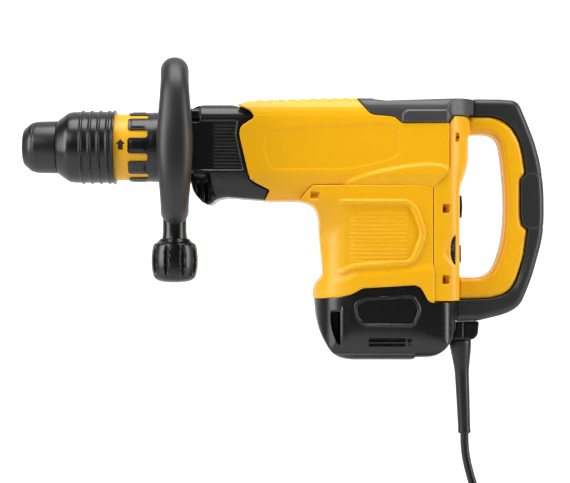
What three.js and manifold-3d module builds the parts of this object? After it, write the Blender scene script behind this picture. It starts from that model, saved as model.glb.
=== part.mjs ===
// SDS-max demolition hammer of the 10 kg class, as an assembly of separate pieces.
// Millimetres, +Z up. The tool axis is X: the nose points to -X, the D-handle to +X.
// The origin is on the tool axis, at the centre of the mouth of the tool holder.
// Left is the operator's left, so it is the -Y side.
import * as THREE from 'three';
import { mergeVertices } from 'three/addons/utils/BufferGeometryUtils.js';
import Module from 'manifold-3d';

const wasm = await Module();
wasm.setup();
const { Manifold, Mesh } = wasm;

// ---- driving dimensions ------------------------------------------------------
const GAP = 0.3; // between pieces that touch
const BIG = 400; // longer than any cut has to be

// Hammer mechanism, along X.
const SHANK_RADIUS = 9.2; // SDS-max shank of 18 mm
const SHANK_DEPTH = 90;
const HOLDER_RADIUS = 20;
const HOLDER_HUB_RADIUS = 24;
const HOLDER_END = 176;
const BORE_RADIUS = 24.4; // of the barrel and of the crankcase's front wall
const CYLINDER_BORE = 19;
const PISTON_FRONT = 213;
const PISTON_PIN_X = 227.5;
const ROD_LENGTH = 66;
const CRANK_THROW = 17;
const CRANK_X = PISTON_PIN_X + ROD_LENGTH + CRANK_THROW;

// Gear train from the armature to the crank; all its shafts are vertical.
const CRANK_GEAR = { teeth: 33, module: 2 };
const SECOND_PINION = { teeth: 11, module: 2 };
const FIRST_GEAR = { teeth: 28, module: 1.5 };
const ARMATURE_PINION = { teeth: 7, module: 1.5 };
const pitchRadius = (gear) => gear.teeth * gear.module / 2;
const LAYSHAFT_X = CRANK_X + pitchRadius(CRANK_GEAR) + pitchRadius(SECOND_PINION);
const MOTOR_X = LAYSHAFT_X + pitchRadius(FIRST_GEAR) + pitchRadius(ARMATURE_PINION);
const STATOR_RADIUS = 46.6;

// Nose: radii about the tool axis, places along it.
const SLEEVE_FRONT = 36;
const SLEEVE_END = 99.6;
const SLEEVE_RADIUS = 37.6;
const INDEX_RING_RADIUS = 34.8;
const INDEX_RING_FRONT = 97;
const INDEX_GRIP_FRONT = 111.4;
const INDEX_GRIP_END = 149.6;
const INDEX_GRIP_RADIUS = 36.8;
const FINGERS = 9;

// Housings.
const BARREL_FRONT = 151;
const BARREL_RADIUS = 36;
const FRONT_HALF_WIDTH = 47;
const SHELL_HALF_WIDTH = 51;
const MOTOR_HALF_WIDTH = 53;
const WALL = 3.5;
const HANDLE_HALF_WIDTH = 19;
const BASE_Z = -222.4;

// Side handle: a bow in front of the barrel, on a clamp bolt along Z.
const BOLT = { x: 164.3, y: -46, radius: 4 };
const BAND_HALF_WIDTH = 9;
const BOW_RAKE = 0.064; // how far the bow leans back for each millimetre it stands out
const BOW_ROUTE = [ // Y and Z of its centre line, from the upper ear to the lower socket
  [-40, 36], [-40, 54], [-50, 71], [-69, 73], [-88, 56], [-97, 27],
  [-100, -5], [-96, -36], [-83, -59], [-64, -70], [-46, -73],
];
const SOCKET_RADIUS = 12.3;
const SOCKET_FOOT = -97;
const KNOB_TOP = -99.2;
const KNOB_FOOT = -141.6;

// Speed dial, a disc about an axis along X that shows at the left wall.
const DIAL = { x: 450.6, y: -19, z: -108.5, radius: 27, halfWidth: 2.7 };

// Mains lead: strain relief, straight drop, and the tied coil that hangs from it.
const CORD_RADIUS = 4.5;
const CORD_ROUTE = [ // from the boot to the coil's outer turn
  [467, 0, -302], [467.4, 0, -314], [469, -0.6, -328], [472.6, -2.4, -344], [477.6, -5.2, -361],
  [482.9, -8.6, -379], [487.6, -11.6, -397], [490.8, -13.3, -414], [492.3, -13.8, -428],
];
const COIL = { x: 430, z: -441, middle: 54, turns: 4, pitch: 9.2 };

// ---- shapes ------------------------------------------------------------------

// A closed three.js geometry as a solid with merged corners and faces pointing out.
function solidOf(geometry) {
  const bare = geometry.clone();
  bare.deleteAttribute('normal');
  bare.deleteAttribute('uv');
  const merged = mergeVertices(bare, 1e-4);
  const at = merged.getAttribute('position').array;
  const corner = (i) => new THREE.Vector3(at[3 * i], at[3 * i + 1], at[3 * i + 2]);
  const triangles = [];
  let volume = 0;
  for (let i = 0; i < merged.index.count; i += 3) {
    const [a, b, c] = merged.index.array.slice(i, i + 3);
    if (a === b || b === c || c === a) continue;
    triangles.push([a, b, c]);
    volume += corner(a).dot(corner(b).cross(corner(c)));
  }
  const facingOut = volume < 0 ? triangles.map(([a, b, c]) => [a, c, b]) : triangles;
  const triVerts = Uint32Array.from(facingOut.flat());
  return new Manifold(new Mesh({ numProp: 3, vertProperties: Float32Array.from(at), triVerts }));
}

// A solid as a mesh that three.js can show.
function named(name, solid, material) {
  const { vertProperties, triVerts } = solid.getMesh();
  const geometry = new THREE.BufferGeometry();
  geometry.setAttribute('position', new THREE.BufferAttribute(vertProperties, 3));
  geometry.setIndex(new THREE.BufferAttribute(triVerts, 1));
  geometry.computeVertexNormals();
  const mesh = new THREE.Mesh(geometry, material);
  mesh.name = name;
  return mesh;
}

const union = (...solids) => solids.reduce((whole, solid) => whole.add(solid));
const cut = (solid, ...tools) => tools.reduce((rest, tool) => rest.subtract(tool), solid);
const mirrored = (solid) => solid.mirror([0, 1, 0]);

// An outline through points of two coordinates; a third number rounds that corner.
function outline(points) {
  const shape = new THREE.Shape();
  points.forEach(([u, v, radius = 0], i) => {
    const here = new THREE.Vector2(u, v);
    const [before, after] = [points.at(i - 1), points[(i + 1) % points.length]].map(
      ([a, b]) => new THREE.Vector2(a, b).sub(here));
    const reach = Math.min(radius, before.length() / 2, after.length() / 2);
    const start = here.clone().add(before.setLength(reach || 1e-9));
    const end = here.clone().add(after.setLength(reach || 1e-9));
    if (i === 0) shape.moveTo(start.x, start.y);
    else shape.lineTo(start.x, start.y);
    if (reach) shape.quadraticCurveTo(u, v, end.x, end.y);
  });
  shape.closePath();
  return shape;
}

// An outline swept straight along one axis: drawn in XY for Z, in XZ for Y, in YZ for X.
const PLANES = {
  x: new THREE.Matrix4().makeBasis(...[[0, 1, 0], [0, 0, 1], [1, 0, 0]].map(
    (v) => new THREE.Vector3(...v))),
  y: new THREE.Matrix4().makeBasis(...[[1, 0, 0], [0, 0, 1], [0, -1, 0]].map(
    (v) => new THREE.Vector3(...v))),
  z: new THREE.Matrix4(),
};
function prism(axis, points, from, to, curveSegments = 3) {
  const shape = points instanceof THREE.Shape ? points : outline(points);
  const geometry = new THREE.ExtrudeGeometry(shape,
    { depth: to - from, bevelEnabled: false, curveSegments });
  geometry.applyMatrix4(PLANES[axis]);
  const start = { x: [from, 0, 0], y: [0, to, 0], z: [0, 0, from] }[axis];
  geometry.translate(...start);
  return solidOf(geometry);
}

// A profile of (radius, place along the axis) turned about an axis through a centre.
function turned(axis, profile, centre = [0, 0, 0], segments = 24) {
  const geometry = new THREE.LatheGeometry(
    profile.map(([r, s]) => new THREE.Vector2(r, s)), segments);
  if (axis === 'x') geometry.rotateZ(-Math.PI / 2);
  if (axis === 'z') geometry.rotateX(Math.PI / 2);
  geometry.translate(...centre);
  return solidOf(geometry);
}
const rod = (axis, radius, from, to, centre, segments = 16) =>
  turned(axis, [[0, from], [radius, from], [radius, to], [0, to]], centre, segments);
const tube = (axis, inner, outer, from, to, centre, segments = 24) => turned(axis,
  [[inner, from], [outer, from], [outer, to], [inner, to], [inner, from]], centre, segments);

function box(x0, x1, y0, y1, z0, z1) {
  const geometry = new THREE.BoxGeometry(x1 - x0, y1 - y0, z1 - z0);
  geometry.translate((x0 + x1) / 2, (y0 + y1) / 2, (z0 + z1) / 2);
  return solidOf(geometry);
}

// A round section swept along a smooth curve.
function swept(curve, radius, steps, sides = 12) {
  const section = new THREE.Shape();
  for (let i = 0; i < sides; i += 1) {
    const angle = 2 * Math.PI * i / sides;
    section[i ? 'lineTo' : 'moveTo'](radius * Math.cos(angle), radius * Math.sin(angle));
  }
  section.closePath();
  return new THREE.ExtrudeGeometry(section, { steps, bevelEnabled: false, extrudePath: curve });
}

// A spur gear's outline in XY, with straight flanks and room between the teeth. A tooth
// points to +X, so on a gear with an odd number of teeth a gap faces -X.
function gearOutline({ teeth, module }, centreX) {
  const root = module * (teeth / 2 - 1.15);
  const tip = module * (teeth / 2 + 0.85);
  const pitch = 2 * Math.PI / teeth;
  const points = [];
  for (let i = 0; i < teeth; i += 1) {
    for (const [radius, share] of [[root, -0.3], [tip, -0.12], [tip, 0.12], [root, 0.3]]) {
      const angle = (i + share) * pitch;
      points.push([centreX + radius * Math.cos(angle), radius * Math.sin(angle)]);
    }
  }
  return points;
}

// ---- materials ---------------------------------------------------------------
const finish = (color, roughness, metalness = 0) =>
  new THREE.MeshStandardMaterial({ color, roughness, metalness });
const yellow = finish(0xe5a500, 0.45);
const black = finish(0x1d1d1f, 0.45);
const rubber = finish(0x2c2c2e, 0.75);
const steel = finish(0x9a9ca0, 0.3, 1);
const darkSteel = finish(0x4a4c50, 0.35, 1);
const aluminium = finish(0xb4b6b8, 0.4, 1);
const copper = finish(0xb87333, 0.35, 1);
const carbon = finish(0x2a2a2a, 0.8);
const board = finish(0x22262a, 0.6);

// ---- nose and tool holder ----------------------------------------------------

const ROLLER = { radius: 3.2, from: 49, to: 63, z: 11.2 };

function toolHolder() {
  const body = turned('x', [
    [SHANK_RADIUS, 5.6], [HOLDER_RADIUS, 5.6], [HOLDER_RADIUS, 64], [HOLDER_HUB_RADIUS, 64],
    [HOLDER_HUB_RADIUS, HOLDER_END], [14.4, HOLDER_END], [14.4, SHANK_DEPTH],
    [SHANK_RADIUS, SHANK_DEPTH], [SHANK_RADIUS, 5.6]]);
  const halfSlot = ROLLER.radius + GAP;
  const slots = box(ROLLER.from - 1, ROLLER.to + 1, -halfSlot, halfSlot, -BIG, BIG);
  return cut(body, slots);
}

const lockRoller = (side) =>
  rod('x', ROLLER.radius, ROLLER.from, ROLLER.to, [0, 0, side * ROLLER.z], 14);

const noseCap = () => turned('x', [
  [10.4, 0], [17.4, 0], [19.4, 1.4], [25.6, 9], [26.8, 13.6], [27.6, SLEEVE_FRONT - GAP],
  [HOLDER_RADIUS + GAP, SLEEVE_FRONT - GAP], [HOLDER_RADIUS + GAP, 5.3], [10.4, 5.3],
  [10.4, 0]]);

const lockingSleeve = () => turned('x', [
  [HOLDER_RADIUS + GAP, SLEEVE_FRONT], [27.5, SLEEVE_FRONT], [SLEEVE_RADIUS, 51.7],
  [SLEEVE_RADIUS, SLEEVE_END - 3], [39.2, SLEEVE_END - 2], [39.2, SLEEVE_END],
  [INDEX_RING_RADIUS + 0.5, SLEEVE_END], [INDEX_RING_RADIUS + 0.5, 88], [30, 88], [30, 74],
  [HOLDER_HUB_RADIUS + 0.5, 74], [HOLDER_HUB_RADIUS + 0.5, 56.5], [HOLDER_RADIUS + GAP, 56.5],
  [HOLDER_RADIUS + GAP, SLEEVE_FRONT]]);

// The spring that holds the sleeve forward, between its inner step and the index ring.
const SPRING = { radius: 27.2, wire: 1.4, from: 76, to: 94.5, turns: 4 };
class Helix extends THREE.Curve {
  getPoint(t) {
    const angle = 2 * Math.PI * SPRING.turns * t;
    return new THREE.Vector3(SPRING.from + (SPRING.to - SPRING.from) * t,
      SPRING.radius * Math.cos(angle), SPRING.radius * Math.sin(angle));
  }
}
const sleeveSpring = () => solidOf(swept(new Helix(), SPRING.wire, 44, 5));

const indexRing = () => tube('x', HOLDER_HUB_RADIUS + GAP, INDEX_RING_RADIUS,
  INDEX_RING_FRONT, INDEX_GRIP_END - 1);

// A ring whose front is divided into fingers; the yellow ring shows between them.
function indexGrip() {
  const inner = INDEX_RING_RADIUS + GAP;
  const ring = tube('x', inner, INDEX_GRIP_RADIUS, INDEX_GRIP_FRONT, INDEX_GRIP_END, [0, 0, 0], 36);
  const slots = Array.from({ length: FINGERS }, (_, i) => {
    const slot = prism('x', [[-4.1, 0], [4.1, 0], [4.1, -60], [-4.1, -60]],
      INDEX_GRIP_FRONT - 1, 132.6);
    return slot.rotate([360 * (i + 0.5) / FINGERS + 90, 0, 0]);
  });
  return cut(ring, ...slots);
}

// ---- percussion mechanism ----------------------------------------------------

const impactBolt = () => turned('x', [
  [0, 92], [8.4, 92], [8.8, 93], [8.8, 108], [14, 112], [14, 134], [9.4, 138], [9.4, 150],
  [0, 150]], [0, 0, 0], 24);

const striker = () => turned('x', [
  [0, 168], [8, 168], [9, 169], [9, 184], [18.7, 186], [18.7, 192], [17.6, 193], [17.6, 196],
  [18.7, 197], [18.7, 210], [0, 210]], [0, 0, 0], 24);

// Rubber rings that seal the air spring, in the grooves of the striker and the piston.
const sealRing = (from, to) => tube('x', 17.9, 18.7, from, to);

const cylinder = () => tube('x', CYLINDER_BORE, HOLDER_HUB_RADIUS, HOLDER_END + 2, 268);

function piston() {
  const body = turned('x', [
    [0, PISTON_FRONT], [18.7, PISTON_FRONT], [18.7, 216], [17.6, 217], [17.6, 220],
    [18.7, 221], [18.7, 243], [13.5, 243], [13.5, 219], [0, 219]], [0, 0, 0], 28);
  return cut(body, rod('z', 4.1, -BIG, BIG, [PISTON_PIN_X, 0, 0]));
}

const pistonPin = () => rod('z', 3.9, -17, 17, [PISTON_PIN_X, 0, 0], 20);

function connectingRod() {
  const bigEndX = PISTON_PIN_X + ROD_LENGTH;
  const shank = prism('z', [[PISTON_PIN_X, -4.6], [bigEndX, -6.5], [bigEndX, 6.5],
    [PISTON_PIN_X, 4.6]], -4.5, 4.5);
  const ends = union(rod('z', 8, -5, 5, [PISTON_PIN_X, 0, 0]), rod('z', 10.5, -6, 6, [bigEndX, 0, 0]));
  return cut(ends.add(shank), rod('z', 4.1, -BIG, BIG, [PISTON_PIN_X, 0, 0]),
    rod('z', 6.2, -BIG, BIG, [bigEndX, 0, 0]));
}

// The crank pin stays in the rod's eye and ends just above the crank's disc.
const crankPin = () => rod('z', 6, -9.6, 6.5, [PISTON_PIN_X + ROD_LENGTH, 0, 0], 24);

const CRANK_DISC = { top: -10, foot: -19.5 };
const GEAR_LEVEL = { top: -19.5, foot: -30 }; // of the crank gear and the second pinion
const FIRST_LEVEL = { top: -31.5, foot: -39 }; // of the first gear
function crankGear() {
  const teeth = prism('z', gearOutline(CRANK_GEAR, CRANK_X), GEAR_LEVEL.foot, GEAR_LEVEL.top);
  const disc = rod('z', 26, CRANK_DISC.foot - 1, CRANK_DISC.top, [CRANK_X, 0, 0], 28);
  const shaft = rod('z', 10, -46, GEAR_LEVEL.foot + 1, [CRANK_X, 0, 0]);
  return union(teeth, disc, shaft);
}

const crankBearing = () => tube('z', 10.2, 17.7, -46, -34, [CRANK_X, 0, 0], 24);

function layshaft() {
  const at = [LAYSHAFT_X, 0, 0];
  const pinion = prism('z', gearOutline(SECOND_PINION, LAYSHAFT_X),
    GEAR_LEVEL.foot - 1.5, GEAR_LEVEL.top);
  const gear = prism('z', gearOutline(FIRST_GEAR, LAYSHAFT_X),
    FIRST_LEVEL.foot, FIRST_LEVEL.top);
  return union(pinion, gear, rod('z', 5, -47, -14, at));
}

// The crankcase is an open tray: bearing seats in its floor, the cylinder in its front wall.
const CASE = { front: 262.4, rear: 402, halfWidth: 45, foot: -52, top: 36, wall: 4 };
function crankcase() {
  const { front, rear, halfWidth, foot, top, wall } = CASE;
  const outer = prism('z', [[front, -halfWidth, 6], [rear, -halfWidth, 18],
    [rear, halfWidth, 18], [front, halfWidth, 6]], foot, top);
  const inner = prism('z', [[front + wall, wall - halfWidth, 4], [rear - wall, wall - halfWidth, 14],
    [rear - wall, halfWidth - wall, 14], [front + wall, halfWidth - wall, 4]], foot + wall, BIG);
  const seat = rod('z', 20, foot + 1, -33.5, [CRANK_X, 0, 0]);
  const boss = rod('z', 16, -62, foot + 1, [MOTOR_X, 0, 0], 24);
  const openings = [
    rod('x', BORE_RADIUS, front - 1, front + wall + 2, [0, 0, 0], 28),
    rod('z', 18, -46.4, 0, [CRANK_X, 0, 0], 24),
    rod('z', 5.3, -49, 0, [LAYSHAFT_X, 0, 0]),
    rod('z', 7, -BIG, 0, [MOTOR_X, 0, 0]),
    rod('z', 13.2, -63, -54, [MOTOR_X, 0, 0], 24),
  ];
  return cut(union(cut(outer, inner), seat, boss), ...openings);
}

const crankcaseCover = () => prism('z', [[CASE.front, -CASE.halfWidth, 6],
  [348, -CASE.halfWidth, 6], [348, CASE.halfWidth, 6], [CASE.front, CASE.halfWidth, 6]],
CASE.top + GAP, CASE.top + 4);

// ---- motor -------------------------------------------------------------------

const motorCentre = [MOTOR_X, 0, 0];

function armatureShaft() {
  const pinion = prism('z', gearOutline(ARMATURE_PINION, MOTOR_X), -41, FIRST_LEVEL.top + 1);
  return union(pinion, rod('z', 4.1, -203, -40, motorCentre));
}

// Laminated core with winding slots, pressed on the shaft.
function armatureCore() {
  const body = tube('z', 4.2, 27, -139, -88, motorCentre, 36);
  const slots = Array.from({ length: 12 }, (_, i) =>
    box(20, 30, -1.6, 1.6, -BIG, 0).rotate([0, 0, 30 * i]).translate([MOTOR_X, 0, 0]));
  return cut(body, ...slots);
}

const commutator = () => tube('z', 4.2, 15, -174, -152, motorCentre, 28);

function fan() {
  const disc = tube('z', 4.2, 42, -68, -66, motorCentre, 32);
  const blades = Array.from({ length: 9 }, (_, i) =>
    box(14, 41, -0.9, 0.9, -78, -67).rotate([0, 0, 40 * i]).translate([MOTOR_X, 0, 0]));
  return union(disc, tube('z', 4.2, 9, -80, -67, motorCentre, 18), ...blades);
}

// Field pack: a ring whose bore has two flats' worth of pole gap left and right.
function stator() {
  const ring = tube('z', 28.2, STATOR_RADIUS, -141.8, -84, motorCentre, 36);
  const gaps = box(MOTOR_X - 12, MOTOR_X + 12, -37, 37, -149, -83);
  return cut(ring, gaps);
}

// Sheet that keeps the cooling air on the fan.
const airBaffle = () => tube('z', 31, STATOR_RADIUS, -83.6, -80.8, motorCentre, 28);

const upperBearing = () => tube('z', 4.3, 13, -61.6, -54.3, motorCentre, 22);
const lowerBearing = () => tube('z', 4.3, 11, -203, -194.3, motorCentre, 22);

const BRUSH = { z: -163, inner: 15.4, outer: 32, halfWidth: 4.5, halfHeight: 5.5 };
function carbonBrush() {
  const { z, inner, outer, halfWidth, halfHeight } = BRUSH;
  const block = box(MOTOR_X - halfWidth, MOTOR_X + halfWidth, -outer, -13, z - halfHeight,
    z + halfHeight);
  return cut(block, rod('z', inner, -BIG, 0, motorCentre, 28));
}
function brushHolder() {
  const { z, outer, halfWidth, halfHeight } = BRUSH;
  const sheath = box(MOTOR_X - halfWidth - 2.5, MOTOR_X + halfWidth + 2.5, -outer - 6, -19,
    z - halfHeight - 2.5, z + halfHeight + 2.5);
  const bore = box(MOTOR_X - halfWidth - GAP, MOTOR_X + halfWidth + GAP, -outer - 3, 0,
    z - halfHeight - GAP, z + halfHeight + GAP);
  return cut(sheath, bore);
}

// ---- housings ----------------------------------------------------------------

// The seam between the black front casting and the yellow shells, from top to bottom.
const FRONT_SEAM = [[238, 60], [238, 41], [245.6, 30, 3], [232, 19, 5], [230.6, 11, 4],
  [236.8, -16], [241.6, -36, 4], [262.2, -46.4], [257, -57.2]];
const insetX = (points, dx) => points.map(([x, z, r = 0]) => [x + dx, z, r]);

function frontHousing() {
  const side = prism('y', [...insetX(FRONT_SEAM, -GAP), [255.5, -56.5], [212, -53], [206, -56.5], [199.5, -61.6, 4],
    [190, -58, 4], [183, -47], [178.5, -37], [178.5, 36], [181, 38], [191.5, 41.2, 5], [224, 42.3],
    [232, 44]], -FRONT_HALF_WIDTH, FRONT_HALF_WIDTH);
  const front = prism('x', [[-47, -34, 18], [-34, -62, 10], [34, -62, 10], [47, -34, 18],
    [47, 44, 26], [-47, 44, 26]], 170, 264, 4);
  const barrel = rod('x', BARREL_RADIUS, BARREL_FRONT, 182, [0, 0, 0], 36);
  return cut(barrel.add(side.intersect(front)), rod('x', BORE_RADIUS, 100, 300, [0, 0, 0], 28));
}

// The line where the top cover meets the shells, from front to rear.
const COVER_SEAM = [[350.7, 60], [350.7, 48], [366, 31.5, 4], [389.8, 29.2, 3], [398.1, 22.4],
  [446.5, 22.8], [452, 30.3], [472, 30.3]];

// Upper shell: one half, a tray that is open towards the middle plane.
const UPPER_FOOT = [[446.4, -23], [430.4, -41], [307.5, -41, 2], [302.6, -44], [293, -57.2]];
function upperShell() {
  const side = (inset, foot) => prism('y', [[351.5 - inset * 0.4, 49 - inset],
    ...insetX(COVER_SEAM.slice(2, 6), 0).map(([x, z, r]) => [x, z - GAP - inset * 0.6, r]),
    ...foot, ...FRONT_SEAM.slice(1).reverse().map(([x, z, r]) =>
      [x + inset, z + (z < -50 ? inset : 0), r]),
    [238.5 + inset, 44.9 - inset]], -BIG, -0.15);
  const foot = UPPER_FOOT.map(([x, z, r]) => [x - 0.2, z, r]);
  const front = (inset) => prism('x', [[1, 50 - inset], [-SHELL_HALF_WIDTH + inset, 50 - inset, 26],
    [-SHELL_HALF_WIDTH + inset, -59 + inset, 12], [1, -59 + inset]], 200, 460, 4);
  const outer = side(0, foot).intersect(front(0));
  const cavity = side(WALL, [[440, -21], [426, -42], [306, -42], [296, -53.5]]);
  const through = box(300, 432, -46, 1, -50, -30);
  const mouth = box(225, 264, WALL - SHELL_HALF_WIDTH, 1, -45, 41);
  return cut(outer, cavity.intersect(front(WALL)), through, mouth, box(CASE.front - 1, CASE.rear + 1, -CASE.halfWidth - GAP, 1, CASE.foot - GAP, 40.4));
}

const CAP_SEAM = [[429.7, -161], [426.2, -159.4], [418.3, -145.2, 3], [411, -142.6],
  [356.6, -145.7], [346.4, -151.8, 4], [334, -154.9], [300, -158]];

// Outline of the motor's can as seen from above, its nose to -X.
const motorPlan = (inset) => [[430 - inset, 50 - inset], [400, MOTOR_HALF_WIDTH - inset, 20],
  [345, MOTOR_HALF_WIDTH - inset, 20], [322, 43 - inset, 12], [308.5 + inset, 22, 12],
  [308.5 + inset, -22, 12], [322, -43 + inset, 12], [345, -MOTOR_HALF_WIDTH + inset, 20],
  [400, -MOTOR_HALF_WIDTH + inset, 20], [430 - inset, -50 + inset]];

function motorHousing() {
  const side = prism('y', [[429.7, -41.4], ...CAP_SEAM, [308.5, -150, 4], [312.5, -141.5, 4],
    [317.4, -135, 4], [316.3, -118.8], [313.7, -92.7], [313, -72, 6], [306, -61, 8],
    [293.6, -57.7], [302.8, -44.6], [307, -41.4]], -BIG, BIG);
  const flange = prism('x', [[-SHELL_HALF_WIDTH, -41, 4], [-SHELL_HALF_WIDTH, -80, 12],
    [SHELL_HALF_WIDTH, -80, 12], [SHELL_HALF_WIDTH, -41, 4]], 280, 340);
  const plan = prism('z', motorPlan(0), -170, -30, 4);
  const can = side.intersect(plan.add(flange));
  const casePocket = box(280, CASE.rear + 2, -CASE.halfWidth - 1, CASE.halfWidth + 1, CASE.foot - GAP, 0);
  return cut(can, rod('z', STATOR_RADIUS + 2 * GAP, -170, -20, motorCentre, 40), casePocket);
}

function motorEndCap() {
  const side = prism('y', [...insetX(CAP_SEAM, 0).reverse().map(([x, z, r]) =>
    [Math.max(x, 307.5), z - 0.4, r]), [456.3, -161.4], [455.8, -191, 6], [446, -207, 8],
  [435, -218, 8], [411.5, -219.6], [409.5, BASE_Z], [338, BASE_Z, 6], [325, -214, 8],
  [314, -193.4, 8], [309.9, -175.7]], -BIG, BIG);
  const plan = prism('z', [[456.3, -34, 14], [445, -48, 10], [400, -MOTOR_HALF_WIDTH, 20],
    [345, -MOTOR_HALF_WIDTH, 20], [322, -43, 12], [307.5, -22, 12], [307.5, 22, 12],
    [322, 43, 12], [345, MOTOR_HALF_WIDTH, 20], [400, MOTOR_HALF_WIDTH, 20], [445, 48, 10],
    [456.3, 34, 14]], -230, -130, 4);
  const front = prism('x', [[-54, -100], [-54, -205, 20], [-36, BASE_Z, 16], [36, BASE_Z, 16],
    [54, -205, 20], [54, -100]], 290, 470, 4);
  const seat = rod('z', 15, -212, -196, motorCentre, 22);
  const hollow = rod('z', 45, -206, -100, motorCentre, 36);
  const body = cut(side.intersect(plan).intersect(front), hollow).add(seat);
  const rear = box(431, 452, -30, 30, -200, -100);
  return cut(body, rear, rod('z', 11.3, -203.4, -190, motorCentre, 22));
}

// Rear housing: one half of the box behind the motor, with its half of the D-handle.
const HANDLE_SEAM = [[491.7, 31.8], [503, 28.8, 8], [513, 21, 8], [521.9, 5.2], [525.4, -8],
  [528.2, -28.6, 2], [522.8, -35, 3], [522.8, -70], [524.2, -82], [530.2, -86.6, 3], [526, -116],
  [517.4, -141.5], [509, -154.5, 8], [491.7, -159.2]];
const WINDOW = [[459.4, -137.3, 5], [493, -137.3, 12], [505.7, -105.3, 20], [508.9, -70, 20],
  [506.5, -22, 20], [501, 13, 14], [469.4, 13, 5], [469.4, -14.6], [466.2, -30.2], [460.2, -43.8, 4],
  [459.5, -60]];

function rearHousing() {
  const side = prism('y', [[446.9, 22.6], [452.4, 29.9], [469.2, 29.9], [469.2, -14.6],
    [466, -30.2], [460, -43.8, 4], [459.3, -60], [459, -160.6], [430.4, -160.6], [430.4, -41],
    [446.6, -23]], -BIG, -0.15);
  const plan = (inset) => prism('z', [[430, 1], [469.2 - inset, 1], [469.2 - inset, -20, 4],
    [464 - inset, -36 + inset, 10], [450, -49 + inset, 14], [430, -50 + inset]], -170, 40, 4);
  const handle = prism('y', [[462, 29.9], [469.6, 29.9], [471, 31.8], ...HANDLE_SEAM, [452, -160.6], [452, -140],
    ...WINDOW, [462, 13]], -HANDLE_HALF_WIDTH + 0.4, -0.15);
  const room = prism('y', [[448, 18], [465.5, 18], [465.5, -18], [456, -46], [456, -156],
    [400, -156], [400, -41], [434, -41]], -BIG, 1);
  const shell = cut(side.intersect(plan(0)), room.intersect(plan(3)));
  const dialSlot = box(DIAL.x - 3.4, DIAL.x + 3.4, -60, -30, -126, -91);
  const switchSlot = box(452, 470, -10, 1, -76.5, -48);
  return cut(shell.add(cut(handle, box(400, 461, -BIG, 1, -135, 12))), dialSlot, switchSlot);
}

// The operator's right half has no slot for the dial.
function rearHousingRight() {
  const patch = box(DIAL.x - 4, DIAL.x + 4, -60, -20, -127, -90);
  const plan = prism('z', [[430, -30], [464, -36, 10], [450, -49, 14], [430, -50]], -170, 40, 4);
  const inner = prism('z', [[430, -20], [461, -33, 10], [450, -46, 14], [430, -47]], -170, 40, 4);
  return mirrored(rearHousing().add(patch.intersect(cut(plan, inner))));
}

function topCover() {
  const side = prism('y', [[351.9, 49], ...COVER_SEAM.slice(2, 7).map(([x, z, r]) =>
    [x + 0.3, z + 0.2, r]), [469, 30.5], [470, 32.6], [474.6, 32.6], [475.2, 48.8], [449, 48.7],
  [428, 47.6], [381.4, 45.3], [374.4, 45.3], [373.2, 46.9], [365.9, 49]], -BIG, BIG);
  const plan = prism('z', [[345, -60], [440, -60], [446, -47, 16], [466, -34, 12],
    [476, -HANDLE_HALF_WIDTH], [476, HANDLE_HALF_WIDTH], [466, 34, 12], [446, 47, 16], [440, 60],
    [345, 60]], 10, 60, 4);
  const front = prism('x', [[-SHELL_HALF_WIDTH, 10], [-SHELL_HALF_WIDTH, 50, 26],
    [SHELL_HALF_WIDTH, 50, 26], [SHELL_HALF_WIDTH, 10]], 340, 480, 4);
  const hollow = box(402, 462, -30, 30, 10, 42).add(box(348.5, 403, -45.5, 45.5, 10, 40.6));
  return cut(side.intersect(plan).intersect(front), hollow);
}

// Rubber skin on the outside of the D-handle.
function handleOvermould() {
  const seam = HANDLE_SEAM.map(([x, z, r = 0], i) =>
    [x + (i > 0 && i < 13 ? GAP : 0), z + (i < 4 ? GAP : 0) - (i > 10 ? GAP : 0), r]);
  return prism('y', [[475.6, 49.9], [504, 49.6], [517, 48.6, 5], [523, 44.5, 6], [531, 26.1],
    [539.3, 5.1], [545.5, -18, 10], [549.2, -60, 12], [548.3, -89.4, 10], [536.1, -138.8, 12],
    [524, -168, 14], [509, -175.5, 10], [480.5, -182.3], [457.4, -183], [457.4, -161],
    ...seam.reverse(), [475.6, 32.1]], -HANDLE_HALF_WIDTH, HANDLE_HALF_WIDTH);
}

// ---- controls ----------------------------------------------------------------

const speedDial = () => rod('x', DIAL.radius, DIAL.x - DIAL.halfWidth, DIAL.x + DIAL.halfWidth,
  [0, DIAL.y, DIAL.z], 32);

// The rocker turns on its own pivot, which is along Y behind the rear wall.
const rockerSwitch = () => prism('y', [[453, -54], [461.3, -49, 2], [463, -62, 6], [461.3, -75, 2],
  [453, -70]], -9, 9);
const switchBody = () => box(439.5, 451, -14, 14, -79, -46);
const controlModule = () => box(436.5, 444, -32, 32, -146, -90);

// ---- side handle -------------------------------------------------------------

const bowCurve = (from, to) => {
  const route = BOW_ROUTE.map(([y, z]) =>
    new THREE.Vector3(BOLT.x + BOW_RAKE * Math.max(0, BOLT.y - y), y, z));
  const whole = new THREE.CatmullRomCurve3(route);
  const samples = Array.from({ length: 25 }, (_, i) =>
    whole.getPointAt(from + (to - from) * i / 24));
  return new THREE.CatmullRomCurve3(samples);
};

function clampBand() {
  const near = [BOLT.x - BAND_HALF_WIDTH, BOLT.x + BAND_HALF_WIDTH];
  const ring = rod('x', 41.6, ...near, [0, 0, 0], 36);
  const lowerEar = prism('x', [[-20, -38], [-56, -40, 4], [-56, -9.5, 4], [-20, -9.5]], ...near);
  const upperEar = prism('x', [[-18, -4.5], [-56, -4.5, 4], [-50, 35.4, 4], [-20, 35.4]], ...near);
  const slit = box(...[near[0] - 1, near[1] + 1], -60, -30, -9.5, -4.5);
  return cut(union(ring, lowerEar, upperEar), rod('x', BARREL_RADIUS + 2 * GAP, 140, 180, [0, 0, 0], 36),
    slit, rod('z', BOLT.radius + GAP, -BIG, 16, [BOLT.x, BOLT.y, 0], 20));
}

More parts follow.
